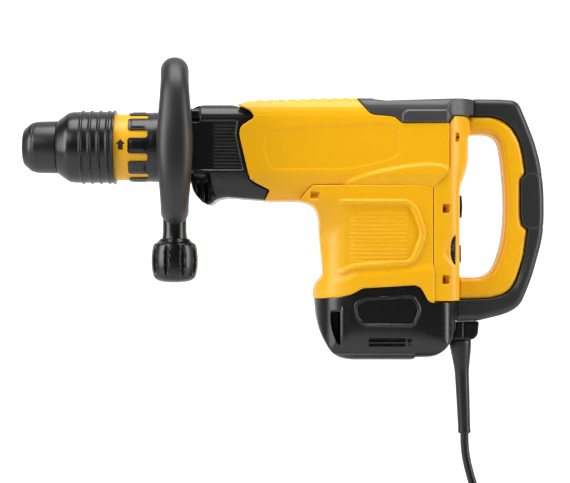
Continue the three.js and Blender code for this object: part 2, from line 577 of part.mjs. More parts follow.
function bowFrame() {
  const core = solidOf(swept(bowCurve(0, 1), 9, 16, 8));
  const socket = rod('z', SOCKET_RADIUS, SOCKET_FOOT, -40.4, [BOLT.x, BOLT.y, 0], 24);
  return cut(core.add(socket), rod('z', BOLT.radius + GAP, -BIG, -20, [BOLT.x, BOLT.y, 0], 20));
}

// Rubber sleeve, fuller where the palm holds it.
function bowGrip() {
  const swell = (geometry, ends, middle) => {
    const at = geometry.getAttribute('position');
    for (let i = 0; i < at.count; i += 1) {
      const rise = Math.min(1, Math.abs(at.getZ(i)) / 62);
      const share = ends + (middle - ends) * (1 + Math.cos(Math.PI * rise)) / 2;
      const centre = BOLT.x + BOW_RAKE * Math.max(0, BOLT.y - at.getY(i));
      at.setX(i, centre + (at.getX(i) - centre) * share);
    }
    return geometry;
  };
  const outer = solidOf(swell(swept(bowCurve(0.13, 0.93), 14.2, 16, 12), 1, 1.26));
  const core = solidOf(swept(bowCurve(0, 1), 9 + 2 * GAP, 16, 8));
  const socket = rod('z', SOCKET_RADIUS + GAP, -110, -30, [BOLT.x, BOLT.y, 0], 24);
  return cut(outer, core, socket);
}

const clampBolt = () => rod('z', BOLT.radius, -128, 15, [BOLT.x, BOLT.y, 0], 20);
const clampWasher = () => tube('z', BOLT.radius + 0.4, 11, KNOB_TOP + GAP, SOCKET_FOOT - GAP,
  [BOLT.x, BOLT.y, 0], 20);
function clampKnob() {
  const body = turned('z', [[0, KNOB_TOP], [13, KNOB_TOP], [20.4, -101.5], [23.3, -109], [24, -120],
    [23.2, -130], [20.6, -137], [14, -140.6], [0, KNOB_FOOT]], [BOLT.x, BOLT.y, 0], 24);
  const flutes = Array.from({ length: 9 }, (_, i) => rod('z', 3.6, -135, -105, [26.2, 0, 0], 8)
    .rotate([0, 0, 40 * i]).translate([BOLT.x, BOLT.y, 0]));
  return cut(body, ...flutes, rod('z', BOLT.radius + 0.4, -135, 0, [BOLT.x, BOLT.y, 0], 20));
}

// ---- mains lead --------------------------------------------------------------

// The gland is screwed under the handle's lower arm.
const cordGland = () => prism('y', [[457.4, -183.6], [479.4, -183], [478, -198, 2], [473, -202.4, 2],
  [457.4, -202.4, 1]], -14, 14);

const cordBoot = () => turned('z', [[0, -202.8], [11.4, -202.8], [10.6, -212], [8.4, -232],
  [7.8, -236], [6.5, -301.6], [0, -301.6]], [465.6, 0, 0], 20);

const cordDrop = (radius) => solidOf(swept(
  new THREE.CatmullRomCurve3(CORD_ROUTE.map((at) => new THREE.Vector3(...at))), radius, 8, 10));
const cordLead = () => cordDrop(CORD_RADIUS);

const COIL_REACH = COIL.middle + COIL.pitch + CORD_RADIUS;
function cordCoil() {
  const inner = COIL.middle - COIL.pitch - CORD_RADIUS;
  const half = (COIL.turns - 1) * COIL.pitch / 2 + CORD_RADIUS;
  const bevel = 3;
  const ring = turned('y', [[inner + bevel, -half], [COIL_REACH - bevel, -half],
    [COIL_REACH, bevel - half], [COIL_REACH, half - bevel], [COIL_REACH - bevel, half],
    [inner + bevel, half], [inner, half - bevel], [inner, bevel - half], [inner + bevel, -half]],
  [COIL.x, 0, COIL.z], 28);
  return cut(ring, cordDrop(CORD_RADIUS + GAP));
}

// Strap around the wound turns, at the top of the coil.
function coilTie() {
  const { x, z, middle, pitch } = COIL;
  const loop = (grow) => box(x - 8, x + 8, -18.7 - grow, 18.7 + grow,
    z + middle - pitch - CORD_RADIUS - 1.5 - grow, z + COIL_REACH + 0.4 + grow);
  return cut(loop(2), loop(0).scale([3, 1, 1]).translate([-2 * x, 0, 0]));
}

// Moulded two-pin plug with its own strain relief, at the end of the coil's last turn.
const PLUG = { x: COIL.x + COIL.middle + COIL.pitch, y: 13.8, top: COIL.z - 36 };
function mainsPlug() {
  const { x, y, top } = PLUG;
  const relief = turned('z', [[0, top], [5.4, top], [7.2, top - 34], [0, top - 34]], [x, y, 0], 20);
  const body = prism('x', [[-7, top - 33], [-12, top - 40, 3], [-18.5, top - 62, 5],
    [-18, top - 70, 2], [18, top - 70, 2], [18.5, top - 62, 5], [12, top - 40, 3], [7, top - 33]],
  x - 7, x + 7).translate([0, y, 0]);
  const pins = [-9.5, 9.5].map((dy) => rod('z', 2.4, top - 89, top - 68, [x, y + dy, 0], 14));
  return union(relief, body, ...pins);
}

// ---- assembly ----------------------------------------------------------------
const group = new THREE.Group();
group.add(
  named('tool_holder', toolHolder(), steel),
  named('nose_cap', noseCap(), rubber),
  named('lock_roller_top', lockRoller(1), darkSteel),
  named('lock_roller_bottom', lockRoller(-1), darkSteel),
  named('locking_sleeve', lockingSleeve(), black),
  named('sleeve_spring', sleeveSpring(), steel),
  named('index_ring', indexRing(), yellow),
  named('index_grip', indexGrip(), black),
  named('impact_bolt', impactBolt(), darkSteel),
  named('striker', striker(), darkSteel),
  named('striker_ring', sealRing(193.3, 195.7), rubber),
  named('cylinder', cylinder(), steel),
  named('piston', piston(), aluminium),
  named('piston_ring', sealRing(217.3, 219.7), rubber),
  named('piston_pin', pistonPin(), steel),
  named('connecting_rod', connectingRod(), steel),
  named('crank_pin', crankPin(), steel),
  named('crank_gear', crankGear(), darkSteel),
  named('crank_bearing', crankBearing(), steel),
  named('layshaft', layshaft(), darkSteel),
  named('crankcase', crankcase(), aluminium),
  named('crankcase_cover', crankcaseCover(), aluminium),
  named('armature_shaft', armatureShaft(), steel),
  named('armature_core', armatureCore(), darkSteel),
  named('commutator', commutator(), copper),
  named('fan', fan(), board),
  named('stator', stator(), darkSteel),
  named('air_baffle', airBaffle(), board),
  named('upper_bearing', upperBearing(), steel),
  named('lower_bearing', lowerBearing(), steel),
  named('brush_holder_left', brushHolder(), board),
  named('brush_holder_right', mirrored(brushHolder()), board),
  named('carbon_brush_left', carbonBrush(), carbon),
  named('carbon_brush_right', mirrored(carbonBrush()), carbon),
  named('front_housing', frontHousing(), black),
  named('upper_shell_left', upperShell(), yellow),
  named('upper_shell_right', mirrored(upperShell()), yellow),
  named('motor_housing', motorHousing(), yellow),
  named('motor_end_cap', motorEndCap(), black),
  named('rear_housing_left', rearHousing(), yellow),
  named('rear_housing_right', rearHousingRight(), yellow),
  named('top_cover', topCover(), black),
  named('handle_overmould', handleOvermould(), rubber),
  named('speed_dial', speedDial(), black),
  named('rocker_switch', rockerSwitch(), black),
  named('switch_body', switchBody(), board),
  named('control_module', controlModule(), board),
  named('clamp_band', clampBand(), black),
  named('bow_frame', bowFrame(), black),
  named('bow_grip', bowGrip(), rubber),
  named('clamp_bolt', clampBolt(), steel),
  named('clamp_washer', clampWasher(), steel),
  named('clamp_knob', clampKnob(), black),
  named('cord_gland', cordGland(), black),
  named('cord_boot', cordBoot(), rubber),
  named('cord_lead', cordLead(), rubber),
  named('cord_coil', cordCoil(), rubber),
  named('coil_tie', coilTie(), rubber),
  named('mains_plug', mainsPlug(), rubber),
);

export default group;
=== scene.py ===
# Looks of the demolition hammer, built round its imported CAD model.
# Shapes are worked out in millimetres. X runs from the nose's mouth to the rear handle, +Z is
# up and -Y is the operator's left. Shells are fields of distance to their surface, negative
# inside, sampled on a grid and meshed. Turned pieces are profiles, the side grip is swept.
import functools
import math

import bmesh
import bpy
import numpy as np
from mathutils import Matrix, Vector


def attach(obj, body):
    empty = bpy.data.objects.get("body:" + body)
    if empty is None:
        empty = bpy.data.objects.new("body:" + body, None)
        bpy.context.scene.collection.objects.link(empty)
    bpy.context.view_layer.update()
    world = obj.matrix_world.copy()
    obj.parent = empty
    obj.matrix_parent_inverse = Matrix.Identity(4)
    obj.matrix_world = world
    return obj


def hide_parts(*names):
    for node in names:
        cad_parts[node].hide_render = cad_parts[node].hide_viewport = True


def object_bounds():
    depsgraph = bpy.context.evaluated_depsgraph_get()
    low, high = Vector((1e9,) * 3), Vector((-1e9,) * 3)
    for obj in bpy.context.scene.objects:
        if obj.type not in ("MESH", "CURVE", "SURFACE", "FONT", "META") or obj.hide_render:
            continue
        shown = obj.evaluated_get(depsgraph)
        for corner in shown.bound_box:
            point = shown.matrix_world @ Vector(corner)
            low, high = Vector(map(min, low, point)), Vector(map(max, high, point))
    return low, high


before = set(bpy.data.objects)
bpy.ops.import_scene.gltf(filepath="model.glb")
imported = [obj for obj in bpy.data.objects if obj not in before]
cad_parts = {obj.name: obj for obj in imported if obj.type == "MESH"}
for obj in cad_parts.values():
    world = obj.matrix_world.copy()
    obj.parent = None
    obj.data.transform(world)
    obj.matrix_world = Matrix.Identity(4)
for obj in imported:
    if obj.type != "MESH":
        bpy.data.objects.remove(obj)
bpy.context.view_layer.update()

MM = 0.001
GAP = 0.3  # between neighbouring pieces
FAR = 400.0  # longer than any cut has to be
SHELL_GRID = 0.85  # step of the grid on which the large shells are sampled
GRIP_HALF = 19  # half the depth of the rear handle, in Y


def put(name, data):
    made = bpy.data.objects.new(name, data)
    bpy.context.collection.objects.link(made)
    return made


# ---- camera and light -----------------------------------------------------------

EYE = (0.2777, -1.79, -0.0994)  # level with the middle of the view
VIEW_WIDTH = 0.6017  # what the view holds in the plane Y = 0
SENSOR = 36.0


def add_camera():
    data = bpy.data.cameras.new("view_camera")
    data.sensor_width = SENSOR
    data.lens = SENSOR * -EYE[1] / VIEW_WIDTH
    camera = put("view_camera", data)
    camera.location = EYE
    camera.rotation_euler = (math.pi / 2, 0, 0)
    bpy.context.scene.camera = camera


def add_light(name, place, towards, size, watts):
    data = bpy.data.lights.new(name, "AREA")
    data.shape = "RECTANGLE"
    data.size, data.size_y = size
    data.energy = watts
    lamp = put(name, data)
    lamp.location = place
    way = np.array(towards) - np.array(place)
    yaw, level = math.atan2(way[1], way[0]), math.hypot(way[0], way[1])
    lamp.rotation_euler = (math.atan2(level, -way[2]), 0, yaw - math.pi / 2)


def add_studio():
    middle = (0.28, 0, -0.06)
    add_light("top_softbox", (0.30, -0.25, 1.35), middle, (1.5, 0.9), 28)
    add_light("left_softbox", (-1.35, -0.75, 0.40), middle, (0.9, 1.5), 31)
    add_light("right_softbox", (1.75, -0.50, 0.25), middle, (0.5, 1.4), 17)
    add_light("front_fill", (-1.2, -1.9, 1.3), middle, (1.4, 1.0), 13)
    add_light("backdrop_light", (0.3, 1.3, 2.3), (0.3, 3.6, 0.1), (3.0, 1.0), 26)
    world = bpy.data.worlds.new("studio")
    world.use_nodes = True
    world.node_tree.nodes["Background"].inputs["Color"].default_value = (1, 1, 1, 1)
    world.node_tree.nodes["Background"].inputs["Strength"].default_value = 0.05
    bpy.context.scene.world = world
    bpy.context.scene.view_settings.view_transform = "Standard"


def paper(name, glow):
    material = bpy.data.materials.new(name)
    material.use_nodes = True
    shader = material.node_tree.nodes["Principled BSDF"]
    shader.inputs["Base Color"].default_value = (0.80, 0.80, 0.80, 1)
    shader.inputs["Roughness"].default_value = 0.9
    shader.inputs["Emission Color"].default_value = (1, 1, 1, 1)
    shader.inputs["Emission Strength"].default_value = glow
    return material


def add_floor():
    """Sheet of paper that bends up behind the tool; its far part is lit through."""
    floor_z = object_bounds()[0][2] - 0.03
    front, lit_from, back, half = -5.0, 1.5, 2.6, 6.0
    bend, steps, height = 1.2, 12, 5
    rows = [(front, floor_z), (lit_from, floor_z)]
    for step in range(steps + 1):
        angle = math.pi / 2 * step / steps
        rows.append((back + bend * math.sin(angle), floor_z + bend * (1 - math.cos(angle))))
    rows.append((back + bend, floor_z + height))
    verts = [(x, y, z) for y, z in rows for x in (-half, half)]
    faces = [(2 * i, 2 * i + 1, 2 * i + 3, 2 * i + 2) for i in range(len(rows) - 1)]
    mesh = bpy.data.meshes.new("studio_floor")
    mesh.from_pydata(verts, [], faces)
    mesh.shade_smooth()
    mesh.materials.append(paper("pale_paper", 0.0))
    mesh.materials.append(paper("lit_paper", 0.66))
    mesh.polygons.foreach_set("material_index", [int(i > 0) for i in range(len(faces))])
    floor = put("studio_floor", mesh)


# ---- materials ------------------------------------------------------------------

def moulded(name, colour, rough, *, metal=0.0, vary=0.05, grain=1500, depth=0.03, streak=None,
            specular=0.5):
    """A plastic, rubber or metal whose colour, roughness and fine relief vary with noise."""
    material = bpy.data.materials.new(name)
    material.use_nodes = True
    tree = material.node_tree
    shader = tree.nodes["Principled BSDF"]
    shader.inputs["Metallic"].default_value = metal
    shader.inputs["Specular IOR Level"].default_value = specular

    def node(kind, **values):
        made = tree.nodes.new(kind)
        for key, value in values.items():
            made.inputs[key].default_value = value
        return made

    where = tree.nodes.new("ShaderNodeTexCoord")
    stretch = node("ShaderNodeMapping", Scale=streak or (1, 1, 1))
    tree.links.new(where.outputs["Object"], stretch.inputs["Vector"])
    broad = node("ShaderNodeTexNoise", Scale=38, Detail=4)
    fine = node("ShaderNodeTexNoise", Scale=grain, Detail=2)
    for noise in (broad, fine):
        tree.links.new(stretch.outputs["Vector"], noise.inputs["Vector"])

    shade = tree.nodes.new("ShaderNodeMix")
    shade.data_type = "RGBA"
    tree.links.new(broad.outputs["Fac"], shade.inputs["Factor"])
    for socket, factor in ((6, 1 - vary), (7, 1 + vary)):
        shade.inputs[socket].default_value = (*(min(1, c * factor) for c in colour), 1)
    tree.links.new(shade.outputs[2], shader.inputs["Base Color"])

    gloss = node("ShaderNodeMapRange", **{"To Min": rough - 0.05, "To Max": rough + 0.07})
    tree.links.new(fine.outputs["Fac"], gloss.inputs["Value"])
    tree.links.new(gloss.outputs["Result"], shader.inputs["Roughness"])

    relief = node("ShaderNodeBump", Strength=0.5, Distance=depth * MM)
    tree.links.new(fine.outputs["Fac"], relief.inputs["Height"])
    tree.links.new(relief.outputs["Normal"], shader.inputs["Normal"])
    return material


YELLOW = moulded("yellow_nylon", (0.80, 0.395, 0.001), 0.36, vary=0.025, grain=1700, depth=0.05,
                 specular=0.4)
BLACK = moulded("black_nylon", (0.003, 0.003, 0.0033), 0.27, vary=0.15, grain=1500, depth=0.05)
RUBBER = moulded("black_rubber", (0.006, 0.006, 0.0065), 0.34, vary=0.12, grain=1900, depth=0.05)
GRIP = moulded("grip_rubber", (0.010, 0.010, 0.0105), 0.42, vary=0.10, grain=2300, depth=0.06)
COVER = moulded("cover_nylon", (0.042, 0.042, 0.043), 0.40, vary=0.12, grain=1500, depth=0.05)
SOFT = moulded("handle_rubber", (0.016, 0.016, 0.0165), 0.40, vary=0.10, grain=2300, depth=0.06)
SHEATH = moulded("cable_sheath", (0.004, 0.004, 0.0045), 0.34, vary=0.12, grain=1400, depth=0.04)
STEEL = moulded("ground_steel", (0.56, 0.56, 0.58), 0.28, metal=1, vary=0.08, grain=260,
                depth=0.01, streak=(0.2, 1, 1))
DARK_STEEL = moulded("blackened_steel", (0.10, 0.10, 0.11), 0.38, metal=1, vary=0.2,
                     grain=420, depth=0.015)
CAST = moulded("cast_aluminium", (0.62, 0.63, 0.65), 0.48, metal=1, vary=0.08, grain=800,
               depth=0.06)
COPPER = moulded("copper_bars", (0.76, 0.36, 0.18), 0.3, metal=1, vary=0.12, grain=500,
                 depth=0.01)
CARBON = moulded("pressed_carbon", (0.03, 0.03, 0.03), 0.7, vary=0.2, grain=1200, depth=0.03)
BOARD = moulded("inner_polyamide", (0.02, 0.022, 0.025), 0.45, vary=0.15, grain=900, depth=0.03)
INK = moulded("printed_black", (0.008, 0.008, 0.008), 0.5, vary=0.1, grain=900, depth=0.01)


# ---- fields ---------------------------------------------------------------------

def outline(points, arc=9):
    """Corners of a closed outline; a third number on a point rounds that corner."""
    made = []
    for i, (u, v, *rounding) in enumerate(points):
        here = np.array((u, v), float)
        if not rounding:
            made.append(here)
            continue
        ways = [np.array(points[j % len(points)][:2], float) - here for j in (i - 1, i + 1)]
        reach = min(rounding[0], *(np.linalg.norm(way) / 2 for way in ways))
        start, end = (here + way / np.linalg.norm(way) * reach for way in ways)
        for t in np.linspace(0, 1, arc + 1):
            made.append((1 - t) ** 2 * start + 2 * t * (1 - t) * here + t * t * end)
    return np.array(made)


def from_segment(a, b, u, v):
    """Squared distance to the segment from a to b."""
    along = np.array(b, float) - a
    wu, wv = u - a[0], v - a[1]
    t = np.clip((wu * along[0] + wv * along[1]) / (along @ along + 1e-9), 0, 1)
    return (wu - along[0] * t) ** 2 + (wv - along[1] * t) ** 2


def within(points, u, v):
    """Distance to a closed outline, negative inside it."""
    corners = outline(points)
    nearest, sign = 1e9, 1.0
    for a, b in zip(corners, np.roll(corners, -1, axis=0)):
        nearest = np.minimum(nearest, from_segment(a, b, u, v))
        left = (b[0] - a[0]) * (v - a[1]) > (b[1] - a[1]) * (u - a[0])
        up = (v >= a[1]) & (v < b[1]) & left
        down = (v < a[1]) & (v >= b[1]) & ~left
        sign = np.where(up | down, -sign, sign)
    return sign * np.sqrt(nearest)


def both(radius, *fields):
    """What lies in every field, its edges rounded."""
    deepest = functools.reduce(np.maximum, fields)
    reach = sum(np.maximum(f + radius, 0) ** 2 for f in fields)
    return np.minimum(deepest, -radius) + np.sqrt(reach)


def either(radius, *fields):
    return -both(radius, *(-f for f in fields))


def without(radius, body, *tools):
    for tool in tools:
        body = both(radius, body, -tool)
    return body


def slab(u, low, high):
    return np.abs(u - (low + high) / 2) - (high - low) / 2


def block(x, y, z, *sides, radius=0.5):
    x0, x1, y0, y1, z0, z1 = sides
    return both(radius, slab(x, x0, x1), slab(y, y0, y1), slab(z, z0, z1))


def disc(u, v, centre, radius):
    return np.hypot(u - centre[0], v - centre[1]) - radius


def rise(t):
    t = np.clip(t, 0, 1)
    return t * t * (3 - 2 * t)


def bead(distance, half_width):
    """Height from 1 on a line to 0 at half_width from it."""
    return 1 - rise(np.abs(distance) / half_width)


def ribs(u, start, pitch, sharp=1.0):
    return (0.5 + 0.5 * np.cos(2 * math.pi * (u - start) / pitch)) ** sharp


def on_side(y):
    """1 on the shells' flat sides, 0 towards the middle plane."""
    return rise((np.abs(y) - 30) / 8)


def two_sided(half):
    """An outline from its half; the other half has v turned round."""
    return half + [(u, -v, *r) for u, v, *r in reversed(half)]


# ---- meshes ---------------------------------------------------------------------

def put_mesh(name, verts, quads):
    mesh = bpy.data.meshes.new(name)
    mesh.vertices.add(len(verts))
    mesh.vertices.foreach_set("co", (np.asarray(verts) * MM).astype(np.float32).ravel())
    mesh.loops.add(quads.size)
    mesh.loops.foreach_set("vertex_index", quads.astype(np.int32).ravel())
    mesh.polygons.add(len(quads))
    mesh.polygons.foreach_set("loop_start", np.arange(0, quads.size, 4, dtype=np.int32))
    mesh.update(calc_edges=True)
    mesh.shade_smooth()
    return put(name, mesh)


CORNERS = [(i, j, k) for i in (0, 1) for j in (0, 1) for k in (0, 1)]


def on_surface(d, places):
    """Moves grid places onto the surface by the field's own slope."""
    top = np.array(d.shape) - 2
    for _ in range(2):
        cell = np.clip(np.floor(places).astype(int), 0, top)
        f = places - cell
        value, slope = 0.0, np.zeros_like(places)
        for corner in CORNERS:
            at = d[tuple((cell + corner).T)]
            share = np.where(np.array(corner) == 1, f, 1 - f)
            value = value + at * share.prod(axis=1)
            for axis in range(3):
                other = np.delete(share, axis, axis=1).prod(axis=1)
                slope[:, axis] += at * other * (1 if corner[axis] else -1)
        step = value / np.maximum((slope ** 2).sum(axis=1), 0.05)
        places = places - slope * np.clip(step, -0.6, 0.6)[:, None]
    return places


def sculpt(name, low, high, step, field):
    """The closed surface where a field is zero, in a box from low to high."""
    x, y, z = (np.arange(a, b + step, step) for a, b in zip(low, high))
    grid = field(x[:, None, None], y[None, :, None], z[None, None, :])
    d = np.array(np.broadcast_to(grid, (len(x), len(y), len(z))), dtype=np.float32)
    for axis in range(3):
        for end in (0, -1):
            edge = [slice(None)] * 3
            edge[axis] = end
            d[tuple(edge)] = np.maximum(d[tuple(edge)], 0.01)
    solid = d < 0
    size = [n - 1 for n in d.shape]
    part = [tuple(slice(c, c + n) for c, n in zip(corner, size)) for corner in CORNERS]
    count = sum(solid[p].astype(np.int8) for p in part)
    active = (count > 0) & (count < 8)
    cells = np.argwhere(active)
    number = np.full(size, -1, dtype=np.int64)
    number[active] = np.arange(len(cells))

    total, hits = np.zeros((len(cells), 3)), np.zeros(len(cells))
    for axis in range(3):
        for start in (c for c in CORNERS if c[axis] == 0):
            a = d[tuple((cells + start).T)]
            b = d[tuple((cells + start + np.eye(3, dtype=int)[axis]).T)]
            cross = (a < 0) != (b < 0)
            spot = np.repeat(np.array(start, float)[None], len(cells), axis=0)
            spot[:, axis] = np.where(cross, a / np.where(cross, a - b, 1), 0)
            total += spot * cross[:, None]
            hits += cross
    places = on_surface(d, cells + total / hits[:, None])

    quads = []
    for axis in range(3):
        stretch = size[axis]
        a, b = (solid.take(range(start, start + stretch), axis) for start in (0, 1))
        for leaving, way in ((a & ~b, 1), (~a & b, -1)):
            at = np.argwhere(leaving)
            loop = []
            for du, dv in ((-1, -1), (0, -1), (0, 0), (-1, 0)):
                shift = np.roll((0, du, dv), axis)
                loop.append(number[tuple((at + shift).T)])
            quads.append(np.stack(loop[::way], axis=1))
    verts = places * step + np.array(low)
    return put_mesh(name, verts, np.concatenate(quads))


def tidy_mesh(obj, sharp):
    work = bmesh.new()
    work.from_mesh(obj.data)
    bmesh.ops.remove_doubles(work, verts=work.verts, dist=2e-6)
    bmesh.ops.recalc_face_normals(work, faces=work.faces)
    work.to_mesh(obj.data)
    work.free()
    obj.data.shade_smooth()
    obj.data.set_sharp_from_angle(angle=math.radians(sharp))
    return obj


def join_rings(name, rings, closed, sharp=40):
    """Faces from each ring of points to the next, and from the last to the first if closed."""
    count, around = rings.shape[:2]
    i, j = np.meshgrid(np.arange(count - (not closed)), np.arange(around), indexing="ij")
    on, up = (j + 1) % around, (i + 1) % count
    quads = np.stack([i * around + j, i * around + on, up * around + on, up * around + j], -1)
    return tidy_mesh(put_mesh(name, rings.reshape(-1, 3), quads.reshape(-1, 4)), sharp)


AXES = {"x": (1, 2, 0), "z": (0, 1, 2)}  # where radius cos, radius sin and place go


def lathe(name, axis, profile, centre=(0, 0, 0), around=120, shape=None, fine=1.2):
    """A closed profile of (radius, place, rounding) turned about an axis. shape gives the
    radius that is added at an angle and place."""
    loop = outline(profile, 4)
    rows = []
    for a, b in zip(loop, np.roll(loop, -1, axis=0)):
        count = max(1, int(np.linalg.norm(b - a) / fine)) if shape else 1
        rows += [a + (b - a) * i / count for i in range(count)]
    rows = np.array(rows)
    angle = 2 * math.pi * np.arange(around) / around
    radius = np.repeat(rows[:, :1], around, axis=1)
    if shape:
        radius = np.maximum(radius + shape(radius, angle[None, :], rows[:, 1:]), 0)
    verts = np.zeros((len(rows), around, 3))
    across, aside, along = AXES[axis]
    verts[:, :, across] = radius * np.cos(angle)
    verts[:, :, aside] = radius * np.sin(angle)
    verts[:, :, along] = rows[:, 1:]
    return join_rings(name, verts + np.array(centre), closed=True)


def piece(obj, body, material, slot, *nodes):
    obj.data.materials.append(material)
    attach(obj, body)
    if nodes:
        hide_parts(*nodes)
    return obj


# ---- mains lead -----------------------------------------------------------------

CORD_RADIUS = 4.5
CURVE_EXCESS = 1.003  # length of the lead's curve over that of its chords
CORD_ROUTE = [  # from the boot to the coil's outer turn
    (467, 0, -302), (467.4, 0, -314), (469, -0.6, -328), (472.6, -2.4, -344),
    (477.6, -5.2, -361), (482.9, -8.6, -379), (487.6, -11.6, -397), (490.8, -13.3, -414),
    (492.3, -13.8, -428),
]
COIL = {"x": 430, "z": -441, "middle": 54, "pitch": 9.2, "turns": 12, "layers": 3}
PLUG = {"x": 493.2, "y": 13.8, "top": -477}


def coil_points(per_turn=24):
    """Four flat spirals side by side; all turns step over in the same stretch."""
    outer, pitch = COIL["middle"] + COIL["pitch"], COIL["pitch"]

    def slot_of(turn):
        column, layer = divmod(min(turn, COIL["turns"] - 1), COIL["layers"])
        layer = layer if column % 2 == 0 else COIL["layers"] - 1 - layer
        return column, layer

    points = []
    for i in range(COIL["turns"] * per_turn):
        turn, share = divmod(i / per_turn, 1)
        (c0, l0), (c1, l1) = slot_of(int(turn)), slot_of(int(turn) + 1)
        step = (share - 0.79) / 0.18
        move = float(rise(step))
        bulge = 4 * math.sin(math.pi * min(max(step, 0), 1)) ** 2 if c1 != c0 else 0
        radius = outer - pitch * (l0 + (l1 - l0) * move) + (bulge if l0 == 0 else -bulge)
        y = pitch * (c0 + (c1 - c0) * move - 1.5)
        angle = -2 * math.pi * share
        points.append((COIL["x"] + radius * math.cos(angle), y,
                       COIL["z"] + radius * math.sin(angle)))
    return points


def add_cord():
    last = [(PLUG["x"], PLUG["y"], COIL["z"] - drop) for drop in (0, 9, 18, 27, 37)]
    route = [(466.8, 0, -297), *CORD_ROUTE, *coil_points(), *last]
    curve = bpy.data.curves.new("mains_cord", "CURVE")
    curve.dimensions = "3D"
    curve.bevel_depth = CORD_RADIUS * MM
    curve.bevel_resolution = 3
    curve.resolution_u = 5
    curve.use_fill_caps = True
    spline = curve.splines.new("BEZIER")
    spline.bezier_points.add(len(route) - 1)
    for point, place in zip(spline.bezier_points, route):
        point.co = [c * MM for c in place]
        point.handle_left_type = point.handle_right_type = "AUTO"
    cord = put("mains_cord", curve)
    piece(cord, "housing", SHEATH, "cable_rubber", "cord_lead", "cord_coil")
    steps = np.linalg.norm(np.diff(np.array(route), axis=0), axis=1)
    return cord, float(steps.sum()) * MM * CURVE_EXCESS


def add_boot():
    """Tapered strain relief that leans back with the lead, with a rolled foot."""
    top, foot = -202.6, -301.6

    def field(x, y, z):
        share = np.clip((top - z) / (top - foot), 0, 1)
        centre = 462.3 + 4.7 * share ** 0.8
        radius = 11.7 - 3.6 * rise(share * 2.6) - 1.7 * share
        radius = radius + 0.35 * bead(z - foot - 2.5, 2.5)
        tube = disc(x, y, (centre, 0), radius)
        return both(0.6, tube, slab(z, foot, top))

    return piece(sculpt("strain_relief", (449, -14, -304), (478, 14, -200), 0.75, field),
                 "housing", SHEATH, "black_rubber", "cord_boot")


def add_gland():
    side = [(457, -183.9), (481.2, -183.2, 2), (479.8, -197.6, 3), (475.2, -202.3, 3),
            (452.4, -202.3), (456.5, -191)]

    def field(x, y, z):
        body = both(1.5, within(side, x, z), slab(y, -14, 14))
        groove = both(0.3, slab(x, 464.2, 465.2), -slab(y, -13.2, 13.2))
        return without(0.4, body, groove)

    return piece(sculpt("cord_gland_block", (451, -15, -204), (483, 15, -182), 0.7, field),
                 "housing", BLACK, "black_shell", "cord_gland")


def add_tie():
    """Strap round the wound turns, with its own loose end."""
    x, z = COIL["x"], COIL["z"]
    low, high = z + 40.3, z + 67.7

    def field(px, py, pz):
        around = both(5, slab(py, -21.0, 21.0), slab(pz, low - 3.4, high + 2.5))
        inside = both(4, slab(py, -19.2, 19.2), slab(pz, low - 1.6, high + 0.7))
        band = both(0.6, around, -inside, slab(px, x - 7.5, x + 7.5))
        tail = block(px, py, pz, x - 7.5, x + 7.5, -22.2, -20.2, low + 4, high - 2, radius=0.7)
        ridge = 0.25 * ribs(px, x, 2.5)
        return either(0.5, band, tail) - ridge

    return piece(sculpt("coil_strap", (x - 9, -23, low - 5), (x + 9, 23, high + 5), 0.6, field),
                 "housing", RUBBER, "black_rubber", "coil_tie")


def add_plug():
    cx, cy, top = PLUG["x"], PLUG["y"], PLUG["top"]
    side = [(-7, top - 33, 3), (-12, top - 40, 4), (-18.4, top - 62, 6), (-18, top - 70, 2),
            (18, top - 70, 2), (18.4, top - 62, 6), (12, top - 40, 4), (7, top - 33, 3)]
    pin_places = (-9.5, 9.5)

    def field(x, y, z):
        x, y = x - cx, y - cy
        waist = 6.9 - 1.4 * bead(z - (top - 50), 12)
        body = both(2.2, within(side, y, z), np.abs(x) - waist)
        relief = both(0.8, np.hypot(x, y) - 5.3 - 1.8 * np.clip((top - z) / 34, 0, 1),
                      slab(z, top - 36, top - 0.3))
        grooves = both(0.5, slab((z - top) % 5.2, 1.6, 3.6), 5.0 - np.hypot(x, y),
                       slab(z, top - 30, top - 2), slab(np.abs(y), 1.6, 9))
        holes = [disc(x, y, (0, dy), 2.3) for dy in pin_places]
        tube = without(0.4, either(1.5, body, relief), grooves)
        return without(0.2, tube, *(both(0.1, h, z - (top - 66)) for h in holes))

    body = sculpt("plug_body", (485, -6, -548), (502, 34, -476), 0.7, field)
    plug = piece(body, "housing", SHEATH, "cable_rubber", "mains_plug")
    pins = []
    for i, dy in enumerate(pin_places):
        profile = [(0, top - 65), (2.3, top - 65), (2.3, top - 88.8, 1.4), (0, top - 88.8)]
        pin = lathe(f"plug_pin_{i + 1}", "z", profile, (cx, cy + dy, 0), 32)
        pins.append(piece(pin, "housing", STEEL, "steel"))
    return [plug, *pins]


# ---- nose -----------------------------------------------------------------------

SLEEVE_FRONT, SLEEVE_END = 38.5, 99.6
RING_RADIUS = 34.8


